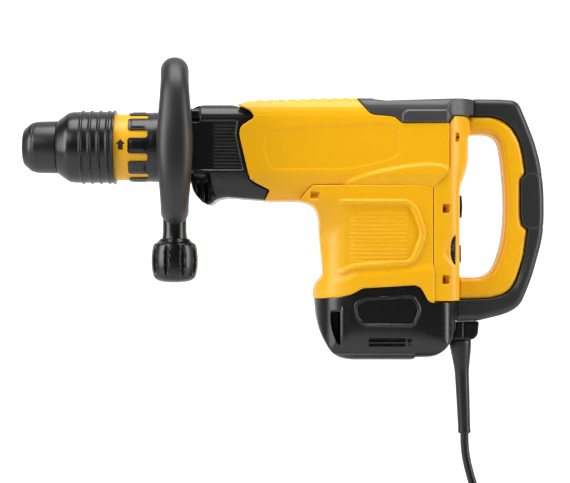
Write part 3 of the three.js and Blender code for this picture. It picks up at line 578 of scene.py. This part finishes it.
def add_nose():
    cap = [(10.4, 2, 1), (16.4, 2.2, 1), (18.8, 3.2, 2), (24.6, 9.6, 3), (26.2, 13, 1),
           (25.9, 13.8, 0.6), (26.7, 14.8, 1), (27.1, 18), (27.6, 38.2, 0.7), (20.3, 38.2),
           (20.3, 7), (10.4, 7)]
    piece(lathe("dust_cap", "x", cap), "tool_holder", RUBBER, "black_rubber", "nose_cap")

    outer = [(27.7, SLEEVE_FRONT, 0.8), (29.4, 40.4, 3), (36.6, 50.4, 5), (37.4, 56, 2),
             (37.5, 62.6)]
    for place in (65.5, 74.9, 84.1, 93.2):
        outer += [(37.5, place - 1.9, 0.8), (39.0, place - 0.9, 0.9), (39.0, place + 0.6, 0.9),
                  (37.6, place + 1.5, 0.8)]
    outer += [(37.7, 97, 0.5), (39.2, 97.9, 0.8), (39.2, SLEEVE_END, 0.8), (35.3, SLEEVE_END, 0.3),
              (35.3, 88), (30, 88), (30, 74), (24.5, 74), (24.5, 56.5), (20.3, 56.5),
              (20.3, SLEEVE_FRONT)]
    piece(lathe("slide_sleeve", "x", outer, around=144), "locking_sleeve", BLACK,
          "black_shell", "locking_sleeve")

    ring = [(24.3, 97), (34.2, 97, 0.3), (RING_RADIUS, 97.6, 0.4), (RING_RADIUS, 148.2, 0.5),
            (24.3, 148.4)]
    piece(lathe("yellow_ring", "x", ring, around=144), "tool_holder", YELLOW, "yellow_shell",
          "index_ring")


def add_arrow():
    """Printed mark that points round the tool, towards +Z on the operator's left."""
    mark = [(107.2, 6.8), (102.4, 1.7), (104.6, 1.7), (104.6, -4.4), (109.8, -4.4),
            (109.8, 1.7), (112, 1.7)]

    def field(x, y, z):
        radius = np.hypot(y, z)
        return both(0.05, within(mark, x, z), slab(radius, RING_RADIUS - 0.6, RING_RADIUS + 0.25),
                    y + 20)

    piece(sculpt("turn_mark", (101, -36, -6), (113, -33, 8), 0.3, field), "tool_holder", INK,
          "black_shell")


def add_crown():
    """Ring with nine fingers over the yellow ring; each finger has a raised pad."""
    fingers, outer, inner = 9, 36.6, RING_RADIUS + GAP

    def field(x, y, z):
        radius = np.hypot(y, z)
        turn = np.arctan2(z, -y) * fingers / (2 * math.pi)
        arc = (turn - np.round(turn)) * 2 * math.pi * outer / fingers
        half = math.pi * outer / fingers
        finger = within([(-half + 4.1, 114.3, 3.6), (half - 4.1, 114.3, 3.6),
                         (half - 4.1, 142), (-half + 4.1, 142)], arc, x)
        solid = either(2.2, finger, 134.8 - x)
        pad = within([(-half + 6.3, 116.6, 2.6), (half - 6.3, 116.6, 2.6),
                      (half - 6.3, 133, 1.5), (-half + 6.3, 133, 1.5)], arc, x)
        height = outer - 0.1 + 0.55 * rise(-pad / 2.6)
        height = height + 0.3 * rise((x - 136) / 5) - 0.4 * bead(x - 146.6, 0.8)
        return both(0.6, solid, radius - height, inner - radius, slab(x, 113.5, 149.6))

    piece(sculpt("finger_crown", (110, -39, -39), (151, 39, 39), 0.65, field), "index_grip",
          BLACK, "black_shell", "index_grip")


# ---- side handle ----------------------------------------------------------------

BOLT = (164.3, -46.0)
BOW_RAKE = 0.064
BOW_ROUTE = [(-40, 36), (-40, 54), (-50, 71), (-69, 73), (-88, 56), (-97, 27), (-100, -5),
             (-96, -36), (-83, -59), (-64, -70), (-46, -73)]


def smooth_through(points, per_stretch=24):
    """A centripetal Catmull-Rom curve through points."""
    points = [np.array(p, float) for p in points]
    points = [2 * points[0] - points[1], *points, 2 * points[-1] - points[-2]]
    made = []
    for p0, p1, p2, p3 in zip(points, points[1:], points[2:], points[3:]):
        d0, d1, d2 = (math.sqrt(np.linalg.norm(b - a)) for a, b in ((p0, p1), (p1, p2), (p2, p3)))
        leave = (p1 - p0) / d0 - (p2 - p0) / (d0 + d1) + (p2 - p1) / d1
        arrive = (p2 - p1) / d1 - (p3 - p1) / (d1 + d2) + (p3 - p2) / d2
        leave, arrive = leave * d1, arrive * d1
        for t in np.arange(per_stretch) / per_stretch:
            square = -3 * p1 + 3 * p2 - 2 * leave - arrive
            cube = 2 * p1 - 2 * p2 + leave + arrive
            made.append(p1 + leave * t + square * t ** 2 + cube * t ** 3)
    return np.array([*made, points[-2]])


def evenly(line, start, end, count):
    """count points along a line, between two shares of its length."""
    length = np.concatenate([[0], np.cumsum(np.linalg.norm(np.diff(line, axis=0), axis=1))])
    places = np.linspace(start, end, count) * length[-1]
    return np.stack([np.interp(places, length, line[:, i]) for i in range(3)], axis=1)


BOW = smooth_through([(BOLT[0] + BOW_RAKE * max(0, BOLT[1] - y), y, z) for y, z in BOW_ROUTE])


def swept(name, line, half_x, half_n, around=56, round_ends=6.0, power=2.0):
    """A section swept along a line. half_x and half_n give the section's half widths, along X
    and across it, at a share of the line."""
    count = len(line)
    ahead = np.gradient(line, axis=0)
    ahead /= np.linalg.norm(ahead, axis=1)[:, None]
    side = np.array([1.0, 0, 0]) - ahead * ahead[:, :1]
    side /= np.linalg.norm(side, axis=1)[:, None]
    up = np.cross(ahead, side)
    share = np.linspace(0, 1, count)
    length = np.linalg.norm(np.diff(line, axis=0), axis=1).sum()
    from_end = np.minimum(share, 1 - share) * length
    shrink = 1 - (1 - np.sqrt(np.clip(1 - (1 - from_end / round_ends).clip(0) ** 2, 0, 1))) * 0.4
    angle = 2 * math.pi * np.arange(around) / around
    cos, sin = (np.sign(w) * np.abs(w) ** (2 / power) for w in (np.cos(angle), np.sin(angle)))
    a = (np.array([half_x(s) for s in share]) * shrink)[:, None, None]
    b = (np.array([half_n(s) for s in share]) * shrink)[:, None, None]
    rings = line[:, None] + side[:, None] * a * cos[None, :, None] \
        + up[:, None] * b * sin[None, :, None]
    caps = [line[:1, None] + 0 * rings[:1], line[-1:, None] + 0 * rings[:1]]
    rings = np.concatenate([caps[0], rings, caps[1]])
    return join_rings(name, rings, closed=False, sharp=60)


def add_side_handle():
    line = evenly(BOW, 0.13, 0.93, 170)
    middle = np.argmin(line[:, 1]) / len(line)

    def half_x(share):
        return 14.2 * (1 + 0.27 * float(1 - rise(abs(share - middle) / 0.36)))

    def half_n(share):
        return 14.2 * (1 + 0.04 * float(1 - rise(abs(share - middle) / 0.36)))

    grip = swept("palm_grip", line, half_x, half_n, around=72, power=2.1)
    piece(grip, "side_handle", GRIP, "grip_rubber", "bow_grip")

    core = swept("bow_core", evenly(BOW, 0.0, 0.97, 120), lambda s: 9.0, lambda s: 9.0,
                 around=32, round_ends=2)
    piece(core, "side_handle", BLACK, "black_shell")
    neck = [(4.3, -96.9), (13.3, -96.9, 0.6), (12.6, -94, 1.5), (12.1, -90, 1), (12.1, -46, 1),
            (12.1, -40.5, 0.8), (4.3, -40.5)]
    neck = lathe("handle_neck", "z", neck, (*BOLT, 0), 72)
    piece(neck, "side_handle", BLACK, "black_shell", "bow_frame")

    def band(x, y, z):
        width = slab(x, 155.4, 173.2)
        ring = both(1.2, np.hypot(y, z) - 41.4, width)
        lower = both(1.5, width,
                     within([(-20, -38), (-56, -40, 6), (-56, -9.5, 2), (-20, -9.5)], y, z))
        upper = both(1.5, width,
                     within([(-18, -4.5), (-56, -4.5, 2), (-50, 35.3, 6), (-20, 35.3)], y, z))
        whole = either(1.5, ring, lower, upper)
        return without(0.6, whole, np.hypot(y, z) - 36.6,
                       block(x, y, z, 150, 180, -62, -33, -9.5, -4.5),
                       both(0.1, disc(x, y, BOLT, 4.3), z - 16))

    piece(sculpt("handle_clamp", (154, -58, -43), (175, 43, 43), 0.8, band), "side_handle",
          BLACK, "black_shell", "clamp_band")


def add_knob():
    profile = [(4.4, -99.2), (13.8, -99.2), (13.8, -96.3, 0.2), (15, -96.7, 1),
               (17.8, -100.2, 3), (21.6, -101.7, 3), (23.2, -108, 5), (24, -119, 8),
               (23.3, -129, 6), (21.4, -136.6, 3), (16, -140.2, 4), (6, -141.5, 4),
               (0, -141.6), (0, -135), (4.4, -135)]
    flutes, widest = 9, 24

    def carve(radius, angle, place):
        turn = (angle + math.pi / 2 + math.radians(17)) * flutes / (2 * math.pi)
        off = (turn - np.round(turn)) * 2 * math.pi / flutes * widest
        lens = 1 - (off / 3.4) ** 2 - ((place + 118.5) / 17.5) ** 2
        return np.where(radius > 14, -2.7 * rise(lens * 1.3), 0)

    knob = lathe("grip_knob", "z", profile, (*BOLT, 0), 216, carve, 0.9)
    piece(knob, "clamp_knob", BLACK, "black_shell", "clamp_knob")


# ---- shells ---------------------------------------------------------------------

FRONT_SEAM = [(223.6, 43.1), (241.7, 35.8, 2), (246.4, 28.3, 3), (232, 19, 7), (230.6, 11, 5),
              (236.8, -16), (241.6, -36, 7), (262.2, -46.4, 1.5), (257, -57.2)]
COVER_SEAM = [(350.7, 60), (350.7, 48), (366, 31.5, 4), (389.8, 29.2, 3), (398.1, 22.4, 1.5),
              (446.5, 22.8, 1.5), (452, 30.3, 1.5), (472, 30.3)]
SHELL_FOOT = [(446.4, -23), (430.4, -41), (307.5, -41, 3), (302.6, -44), (293, -57.2)]
CAP_SEAM = [(430.3, -161), (426.2, -159.4, 2), (418.3, -145.2, 4), (411, -142.6, 2),
            (356.6, -145.7, 3), (346.4, -151.8, 5), (334, -154.9, 5), (300, -158)]


def moved(points, dx=0.0, dz=0.0):
    return [(x + dx, z + dz, *r) for x, z, *r in points]


def add_front_housing():
    side_line = moved(FRONT_SEAM, -GAP, -0.15) + [
        (255.5, -56.6), (212, -53, 2), (206, -51.5, 3), (201.5, -42, 5), (199, -28, 2),
        (178.5, -26, 2), (178.5, 34, 2), (182, 39.6, 3), (191.5, 43, 6)]
    front = [(-47, -30, 14), (-35, -61, 12), (35, -61, 12), (47, -30, 14), (47, 43.5, 26),
             (-47, 43.5, 26)]
    lobe_line = [(179, -20), (180, -36), (182, -46, 4), (189, -57, 5), (199.5, -62.6, 5),
                 (207, -55, 3), (213, -51), (213, -20)]
    recess_line = [(170, 25.5), (228.8, 25.5, 2), (227, 10), (232.6, -16), (235, -26, 2),
                   (170, -26)]

    def field(x, y, z):
        front_face = within(front, y, z)
        left = both(2.0, within(side_line, x, z), front_face)
        away = np.abs(y)
        recess = within(recess_line, x, z)
        hollow = both(1.5, recess, 44.6 - away)
        barrel = both(1, np.hypot(y, z) - 36, slab(x, 151, 190))
        lobe = both(3.5, within(lobe_line, x, z), away - 36)
        grooves = [both(0.8, slab(x, at, at + 3.4), z + 38, 14 - away) for at in (187, 194.5)]
        body = either(2.5, without(0.8, left, hollow), barrel)
        body = either(7, body, without(0.6, lobe, *grooves))
        pocket = block(x, away, z, 170, 190, 26, 60, 23.5, 60, radius=3)
        boss = both(1, np.hypot(away - 34.5, z - 32) - 6.2, slab(x, 179.5, 196))
        body = either(0.6, without(1.0, body, pocket), both(0.3, boss, away - 40))
        lines = ribs(z, 21, 3.55, 0.8) * (away > 40) * rise((-recess - 0.8) / 1.2) \
            * rise((x - 203) / 2)
        body = body - 0.7 * lines
        bolt_hole = both(0.3, np.hypot(away - 34.5, z - 32) - 3.6, x - 187)
        return without(0.5, body, bolt_hole,
                       both(0.2, np.hypot(y, z) - 24.4, slab(x, 100, 300)))

    obj = sculpt("front_casting", (149, -49, -65), (266, 49, 47), SHELL_GRID, field)
    piece(obj, "housing", BLACK, "black_shell", "front_housing")


def shell_side(inset):
    top = [(351.5 - inset * 0.4, 49 - inset)]
    cover = [(x, z - GAP - inset * 0.6, *r) for x, z, *r in COVER_SEAM[2:6]]
    front = [(x + inset, z + (inset if z < -50 else 0), *r) for x, z, *r in reversed(FRONT_SEAM)]
    return top, cover, front, [(224 + inset, 43.5 - inset), (231 + inset, 44.7 - inset),
                               (238.5 + inset, 45.1 - inset)]


LABEL = [(254.9, -5, 4), (257.6, 14.7, 4), (300, 18.6), (387.8, 22.3, 6), (395.1, 17.6, 6),
         (395.1, -12, 6), (386, -16, 4), (346, -25.2, 6), (263, -26.2, 7)]
SWOOSH = [(330, -60), (336, -44), (349, -37.5), (376, -29.5), (402, -24.5), (425, -22.4),
          (440, -24, 4), (446, -29, 4), (437, -38), (437, -60)]


def add_upper_shells():
    top, cover, front, peak = shell_side(0)
    outer_line = top + cover + moved(SHELL_FOOT, -0.2) + front + peak
    top, cover, front, peak = shell_side(3.5)
    inner_line = top + cover + [(440, -21), (426, -42), (306, -42), (296, -53.5)] + front + peak
    cross = [(1, 50), (-51, 50, 26), (-51, -30), (-45, -59, 14), (1, -59)]
    inner_cross = [(1, 46.5), (-47.5, 46.5, 24), (-47.5, -28), (-42, -55.5, 12), (1, -55.5)]
    thinnest = [(1, 47.6), (-48.8, 47.6, 25), (-48.8, -29), (-43.2, -57, 13), (1, -57)]

    def field(x, y, z):
        body = both(0.7, within(outer_line, x, z), within(cross, y, z))
        outside = on_side(y)
        label = within(LABEL, x, z)
        relief = -0.6 * rise(-label / 1.6) * outside
        swell = within(SWOOSH, x, z)
        relief = relief + 2.5 * rise((5.5 - swell) / 5.5) * outside * rise((x - 334) / 14)
        scallops = 1.5 * ribs(x, 240.5, 11.1, 0.7) * rise((x - 236) / 5) - 0.3
        relief = relief + scallops * rise((47 + y) / 5) * rise((351 - x) / 3) * rise((z - 41) / 4)
        front_slope = (z - 42.2 - 0.33 * (x - 231)) / 1.05
        body = both(0.8, body - relief, front_slope)
        room = both(1, within(inner_line, x, z), within(inner_cross, y, z))
        cuts = either(0, block(x, y, z, 300, 432, -46, 1, -50, -30),
                      block(x, y, z, 225, 264, -47.5, 1, -45, 39),
                      block(x, y, z, 261.4, 403, -45.4, 1, -52.4, 40.4))
        cuts = both(0.5, cuts, within(thinnest, y, z))
        return both(0.3, without(0.4, body, room, cuts), y + 0.15)

    left = sculpt("shell_left", (228, -54, -60), (449, 1, 51), SHELL_GRID, field)
    piece(left, "housing", YELLOW, "yellow_shell", "upper_shell_left")
    right = mirror("shell_right", left)
    piece(right, "housing", YELLOW, "yellow_shell", "upper_shell_right")


def mirror(name, obj):
    mesh = obj.data.copy()
    mesh.name = name
    mesh.materials.clear()
    places = np.zeros(3 * len(mesh.vertices), dtype=np.float32)
    mesh.vertices.foreach_get("co", places)
    places[1::3] *= -1
    mesh.vertices.foreach_set("co", places)
    mesh.flip_normals()
    mesh.update()
    return put(name, mesh)


HEXAGON = [(345, -59, 2), (402, -59, 8), (408.5, -62, 6), (413.4, -71.5, 8), (418.8, -88, 6),
           (418.6, -95, 6), (414.2, -107.2, 8), (409, -118.4, 8), (402.5, -121.4, 6),
           (356, -124, 6), (347, -125.4, 5), (338, -129.8, 4), (320, -132), (320, -59)]
MOTOR_X = 380.75
MOTOR_PLAN = two_sided([(430, 50), (400, 53, 20), (345, 53, 22), (322, 43, 14), (308.5, 20, 14)])


def add_motor_housing():
    side_line = [(430.3, -41.4)] + CAP_SEAM + [
        (308.3, -150, 5), (312.5, -141.5, 5), (317.4, -135, 5), (316.3, -118.8), (313.7, -92.7),
        (313, -72, 12), (306, -60, 9), (292.6, -57.4), (302.8, -44.4, 1), (307, -41.4, 2)]
    flange = [(-51, -41), (-51, -58, 8), (-44, -78, 12), (-24, -112), (24, -112), (44, -78, 12),
              (51, -58, 8), (51, -41)]
    skirt_line = [(280, -136), (330, -134.5), (342, -131.5), (350, -128), (400, -125),
                  (418, -121)]

    def field(x, y, z):
        away = np.abs(y)
        side = within(side_line, x, z)
        neck = both(3, within(flange, y, z), slab(x, 280, 345))
        body = both(0.6, side, either(8, within(MOTOR_PLAN, x, y), neck))
        outside = on_side(y)
        hexagon = within(HEXAGON, x, z)
        ridge = 2.3 * rise((3.2 - np.abs(hexagon)) / 1.6) * rise((x - 330) / 10)
        recess = -0.8 * rise(-hexagon / 3) * rise((x - 338) / 8)
        lines = 0.75 * ribs(z, -71, 4.1, 1.6) * rise((x - 344) / 2) * rise((404 - x) / 2) \
            * rise((-69 - z) / 1.5) * rise((z + 122) / 1.5)
        skirt_top = np.interp(x, *zip(*skirt_line))
        skirt = 1.8 * rise((skirt_top - z) / 9)
        body = body - (ridge + recess + lines) * outside - skirt
        pocket = both(0.4, slab(x, 303.8, 313), slab(z, -57, -48.4),
                      46.4 + 0.9 * np.clip(-52.4 - z, 0, 4) - away)
        body = without(0.5, body, pocket)
        bore = both(0.2, disc(x, y, (MOTOR_X, 0), 47.2), slab(z, -170, -20))
        case = block(x, y, z, 280, 404, -46, 46, -52.3, 0)
        return without(0.4, body, bore, case)

    obj = sculpt("motor_can", (291, -58, -163), (432, 58, -40), SHELL_GRID, field)
    piece(obj, "housing", YELLOW, "yellow_shell", "motor_housing")


HEX_CAP = [(349.6, -166, 3), (351, -162.5, 3), (361, -157.2, 3), (406, -155.2, 4),
           (409.8, -156.6, 4), (415.4, -165.5, 4), (416, -171, 4), (411.2, -183, 4),
           (408, -185.6, 3), (361, -185.2, 3), (356.5, -183, 3), (351.2, -177, 3)]


def add_end_cap():
    side_line = [(max(x, 307.5), z - 0.4, *r) for x, z, *r in reversed(CAP_SEAM)] + [
        (456.2, -161.4, 1), (455.8, -190, 10), (447, -207, 12), (434, -219, 10), (413, -219.8),
        (409.5, -222.2, 1.2), (338, -222.2, 8), (325, -214, 10), (313.6, -194, 10),
        (309.6, -175.7)]
    plan = two_sided([(456.2, -30, 16), (446, -48, 16), (400, -53, 20), (345, -53, 20),
                      (322, -43, 14), (307.5, -20, 14)])
    front = [(-54, -100), (-54, -196, 26), (-37, -222.4, 22), (37, -222.4, 22), (54, -196, 26),
             (54, -100)]
    slot_feet = (-202, -206.5)

    def field(x, y, z):
        away = np.abs(y)
        side = within(side_line, x, z)
        body = both(2.2, side, within(plan, x, y), within(front, y, z))
        outside = on_side(y)
        hexagon = within(HEX_CAP, x, z)
        relief = 1.3 * bead(hexagon, 1.2) - 1.8 * rise(-(hexagon + 0.5) / 1.1)
        body = body - relief * outside
        lip = 0.9 * bead(z + 214.6, 1.8) * rise((x - 322) / 12) * rise((413 - x) / 4)
        shelf = 1.2 * rise((z + 217.5) / -2.0) * rise((x - 336) / 14) * rise((413 - x) / 2)
        body = body - lip - shelf
        lens = both(0.6, slab(x, 325 - 0.02 * (z + 172), 334.4), slab(z, -206.5, -171.5),
                    within([(324.8, -171.5, 1), (334.4, -171.5, 1), (334.8, -207),
                            (331.5, -203), (327.4, -193), (325.2, -182)], x, z), 12 - away)
        rib = 1.0 * bead(x - 337.4, 1.6) * rise((z + 209) / 3) * rise((-164 - z) / 8) * outside
        body = body - rib
        slots = [both(0.7, slab(x, 363, 402), slab(z, low, low + 3.1), 45.6 - away)
                 for low in slot_feet]
        small = [both(0.4, slab(x, 403.4, 408.4), slab(z, low, low + 3.1), 47 - away)
                 for low in slot_feet]
        rear = [both(0.8, slab(away, 8, 26), slab(z, low, low + 3), 446 - x)
                for low in (-176, -182, -188, -194)]
        hollow = both(0.5, disc(x, y, (MOTOR_X, 0), 45), slab(z, -206, -100))
        seat = both(0.5, disc(x, y, (MOTOR_X, 0), 15), slab(z, -214, -196))
        box = block(x, y, z, 431, 452, -30, 30, -200, -100)
        body = without(0.7, body, lens, *slots, *small, *rear)
        body = either(0.4, without(0.4, body, hollow, box), seat)
        return without(0.3, body, both(0.1, disc(x, y, (MOTOR_X, 0), 11.3),
                                       slab(z, -203.4, -190)))

    obj = sculpt("motor_cap", (305, -57, -226), (459, 57, -141), SHELL_GRID, field)
    piece(obj, "housing", BLACK, "black_shell", "motor_end_cap")


HANDLE_SEAM = [(491.7, 31.8), (503.6, 28.8, 8), (514.2, 21, 8), (523.3, 5.2, 6),
               (526.8, -8, 6), (529.8, -28.6, 1.5), (524.2, -35, 2), (524.2, -70),
               (525.6, -82, 2), (531.8, -86.6, 2), (527.4, -116, 10), (518.8, -141.5, 10),
               (509.6, -154.5, 8), (491.7, -159.2)]
WINDOW = [(459.4, -137.3, 6), (493, -137.3, 16), (505.7, -105.3, 20), (509.4, -66, 20),
          (506.5, -22, 20), (501, 13, 17), (469.4, 13, 6), (469.4, -14.6, 10),
          (466.2, -30.2, 10), (460.2, -43.8, 6), (459.5, -60)]
POCKETS = [(458.4, 8.1), (444.4, -65.5), (444.4, -138.6)]
DIAL_SLOT = [(453.4, -92.4), (453.4, -124.4), (450.4, -121, 4), (448.2, -115, 5),
             (448.2, -102, 5), (450.4, -95.6, 4)]


def add_rear_housing():
    box_line = [(446.9, 22.6, 1), (452.4, 29.9, 1), (469.2, 29.9, 1), (469.2, -14.6, 10),
                (466, -30.2, 10), (460, -43.8, 6), (459.3, -60), (459, -160.6), (430.4, -160.6),
                (430.4, -41), (446.6, -23)]
    inner_line = [(448, 18), (465.5, 18), (465.5, -18), (456, -46), (456, -156), (400, -156),
                  (400, -41), (434, -41)]
    arm_line = [(440, 29.9), (469.6, 29.9), (471, 31.8)] + HANDLE_SEAM + [(440, -160.6)]
    high = [(430, 1), (469.2, 1), (469.2, -20, 6), (464, -36, 12), (450, -49, 16), (430, -50)]
    low = [(430, 1), (459.3, 1), (459.3, -32, 8), (456, -44, 7), (446, -49.4, 10), (430, -50)]
    high_inside = [(430, 1), (466, 1), (466, -20), (461, -33, 10), (450, -46, 14), (430, -47)]
    low_inside = [(430, 1), (456, 1), (456, -32), (453, -42, 5), (446, -46, 8), (430, -47)]

    def shell(with_dial):
        def field(x, y, z):
            share = rise((-z - 12) / 38)
            skin = within(high, x, y) * (1 - share) + within(low, x, y) * share
            body = both(0.6, within(box_line, x, z), skin)
            if with_dial:
                dish = np.hypot((x - 451.5) / 13.5, (z + 108.5) / 16.5)
                body = body + 1.6 * rise((1 - dish) / 0.4) * rise((-y - 30) / 6)
            inside = within(high_inside, x, y) * (1 - share) + within(low_inside, x, y) * share
            room = both(0.5, within(inner_line, x, z), inside)
            arm = both(6.5, within(arm_line, x, z), -within(WINDOW, x, z),
                       -y - (GRIP_HALF - 0.4), 440 - x)
            arm = both(0.3, arm, -block(x, y, z, 400, 461, -60, 2, -134.8, 12))
            body = either(2.5, without(0.4, body, room), arm)
            body = both(0.5, body, np.where(x < 461, within(box_line, x, z), -FAR), 430.4 - x)
            tongue = both(0.2, slab(x, 441, 448.5), slab(z, -21, 20), slab(-y, 43.4, 46.8))
            body = either(0.1, body, tongue)
            for px, pz in POCKETS:
                boss = both(0.8, slab(x, px - 7, px + 7), slab(z, pz - 6.5, pz + 6.5), skin, y + 34)
                mouth = np.where(x > px, disc((x - px) * 0.88, z, (0, pz), 4.5),
                                 np.maximum(slab(z, pz - 4.5, pz + 4.5), px - 5 - x))
                cup = both(0.4, mouth, 40 + 1.1 * np.clip(x - px + 3, 0, 8) + y)
                from_screw = np.hypot(x - px + 2.2, z - pz)
                head = both(0.4, from_screw - 2.6, slab(-y, 28, 37))
                drive = both(0.1, from_screw - 1.4, 34.5 + y)
                body = without(0.5, either(0.1, body, boss), cup)
                body = without(0.1, either(0.2, body, head), drive)
            slots = [block(x, y, z, 452, 470, -10, 1, -76.6, -48)]
            slots.append(block(x, y, z, 457.8, 470, -12, 1, -122, -102.6))
            if with_dial:
                slots.append(both(0.4, within(DIAL_SLOT, x, z), y + 30))
            return both(0.3, without(0.4, body, *slots), y + 0.15)

        name = "rear_shell_left" if with_dial else "rear_shell_right"
        return sculpt(name, (428, -52, -163), (533, 1, 35), SHELL_GRID, field)

    piece(shell(True), "housing", YELLOW, "yellow_shell", "rear_housing_left")
    plain = shell(False)
    right = mirror("rear_shell_right_side", plain)
    bpy.data.objects.remove(plain)
    piece(right, "housing", YELLOW, "yellow_shell", "rear_housing_right")


BACK_EDGE = [(540, 60), (475, 60), (475, 40), (500, 40), (515, 24), (528, 0), (535, -30),
             (536.5, -60), (535, -95), (526, -125), (514, -152), (500, -168), (457, -172),
             (457, -200), (600, -200), (600, 60)]


def add_overmould():
    last = len(HANDLE_SEAM) - 1
    seam = [(x + GAP * (0 < i < last), z + GAP * (i < 4) - GAP * (i > 10), *r)
            for i, (x, z, *r) in enumerate(HANDLE_SEAM)]
    line = [(466, 49.9), (504, 49.6), (518, 48.4, 6), (523.4, 44, 6), (531, 26.1, 10),
            (539.3, 5.1, 10), (545.5, -18, 16), (548.8, -44, 16), (549.2, -74, 16),
            (547.6, -96, 16), (536.1, -138.8, 20), (524, -167, 18), (509, -175.5, 14),
            (480.5, -182.3), (448, -183), (448, -161)] + seam[::-1] + [(466, 32.1)]

    def field(x, y, z):
        side, away = within(line, x, z), np.abs(y) - GRIP_HALF
        blend = rise((within(BACK_EDGE, x, z) + 4) / 8)
        body = both(7.5, side, away) * (1 - blend) + both(0.9, side, away) * blend
        lines = (z + 29.5 + 0.25 * (x - 540), z + 85.5 - 0.2 * (x - 540))
        body = body + 0.8 * sum(bead(line, 1.2) for line in lines) * rise((x - 530) / 3)
        return both(0.5, body, np.where(z > -60, 475.6, 457.4) - x)

    obj = sculpt("handle_skin", (455, -21, -185), (551, 21, 52), SHELL_GRID, field)
    piece(obj, "housing", SOFT, "black_rubber", "handle_overmould")


def add_top_cover():
    side_line = [(351.9, 49, 0.6)] + moved(COVER_SEAM[2:7], GAP, 0.2) + [
        (469, 30.5), (470, 32.6), (474.9, 32.6, 1), (475.2, 48.8, 1.5), (449, 48.7),
        (428, 47.8), (381.4, 46.0), (366, 49)]
    plan = two_sided([(345, -60), (440, -60), (446, -47, 18), (466, -34, 16), (476, -19)])
    cross = [(-51, 10), (-51, 50, 26), (51, 50, 26), (51, 10)]
    panel_line = [(397, 31), (402.5, 36.4, 3), (446, 36.4, 3), (451, 30.6), (446, 22), (398, 22)]

    def field(x, y, z):
        body = both(1.4, within(side_line, x, z), within(plan, x, y), within(cross, y, z))
        panel = within(panel_line, x, z)
        body = body - 1.5 * rise(-panel / 2.2) * rise((np.abs(y) - 36) / 5)
        dip = both(1.5, slab(x, 369.5, 381), slab(np.abs(y), -1, 14), 45.5 - z)
        notch = both(1.0, slab(x, 370, 381), 47.2 - z)
        hollow = block(x, y, z, 402, 462, -30, 30, 10, 42)
        case = block(x, y, z, 348, 403, -45.5, 45.5, 10, 40.6)
        return without(0.5, body, dip, notch, hollow, case)

    obj = sculpt("rear_cover", (349, -53, 20), (478, 53, 52), 0.8, field)
    piece(obj, "housing", COVER, "black_shell", "top_cover")


# ---- controls -------------------------------------------------------------------

DIAL = (450.6, -19, -108.5)


def add_controls():
    low, high = DIAL[0] - 2.7, DIAL[0] + 2.7
    profile = [(3, low), (25.8, low, 0.6), (27, low + 1, 0.6), (27, high - 1, 0.6),
               (25.8, high, 0.6), (3, high)]

    teeth = 46

    def knurl(radius, angle, place):
        return np.where(radius > 20, -0.9 * (1 - ribs(angle, 0, 2 * math.pi / teeth, 0.6)), 0)

    dial = lathe("speed_wheel", "x", profile, (0, DIAL[1], DIAL[2]), 10 * teeth, knurl)
    piece(dial, "speed_dial", BLACK, "black_shell", "speed_dial")

    rocker_line = [(453, -54), (463.4, -50.5, 1.5), (464.4, -62, 8), (463.4, -75, 1.5), (453, -70)]

    def rocker(x, y, z):
        body = both(1.2, within(rocker_line, x, z), slab(y, -8.8, 8.8))
        return body - 0.3 * ribs(z, -62, 2.6) * (x > 461) * (np.abs(y) < 6.5)

    def window(x, y, z):
        return block(x, y, z, 457, 462.5, -11.4, 11.4, -121.6, -103, radius=0.8)

    piece(sculpt("status_window", (456, -13, -123), (465, 13, -102), 0.5, window), "housing",
          BLACK, "black_shell")
    piece(sculpt("power_rocker", (451, -10, -77), (467, 10, -47), 0.5, rocker), "rocker_switch",
          BLACK, "black_shell", "rocker_switch")


CARRIED = {
    STEEL: ["tool_holder", "sleeve_spring", "cylinder", "piston_pin", "connecting_rod",
            "crank_pin", "crank_bearing", "armature_shaft", "upper_bearing", "lower_bearing",
            "clamp_bolt"],
    DARK_STEEL: ["clamp_washer", "lock_roller_top", "lock_roller_bottom", "impact_bolt", "striker",
                 "crank_gear", "layshaft", "armature_core", "stator"],
    CAST: ["piston", "crankcase", "crankcase_cover"],
    COPPER: ["commutator"],
    CARBON: ["carbon_brush_left", "carbon_brush_right"],
    RUBBER: ["striker_ring", "piston_ring"],
    BOARD: ["fan", "air_baffle", "brush_holder_left", "brush_holder_right", "switch_body",
            "control_module"],
}


def finish_carried_nodes():
    for material, names in CARRIED.items():
        for name in names:
            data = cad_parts[name].data
            data.materials.clear()
            data.materials.append(material)


# ---- assembly -------------------------------------------------------------------

add_camera()
cord, cord_length = add_cord()
boot = add_boot()
strap = add_tie()
plug_parts = add_plug()
add_gland()
add_nose()
add_arrow()
add_crown()
add_side_handle()
add_knob()
add_front_housing()
add_upper_shells()
add_motor_housing()
add_end_cap()
add_rear_housing()
add_overmould()
add_top_cover()
add_controls()
finish_carried_nodes()
add_studio()
add_floor()
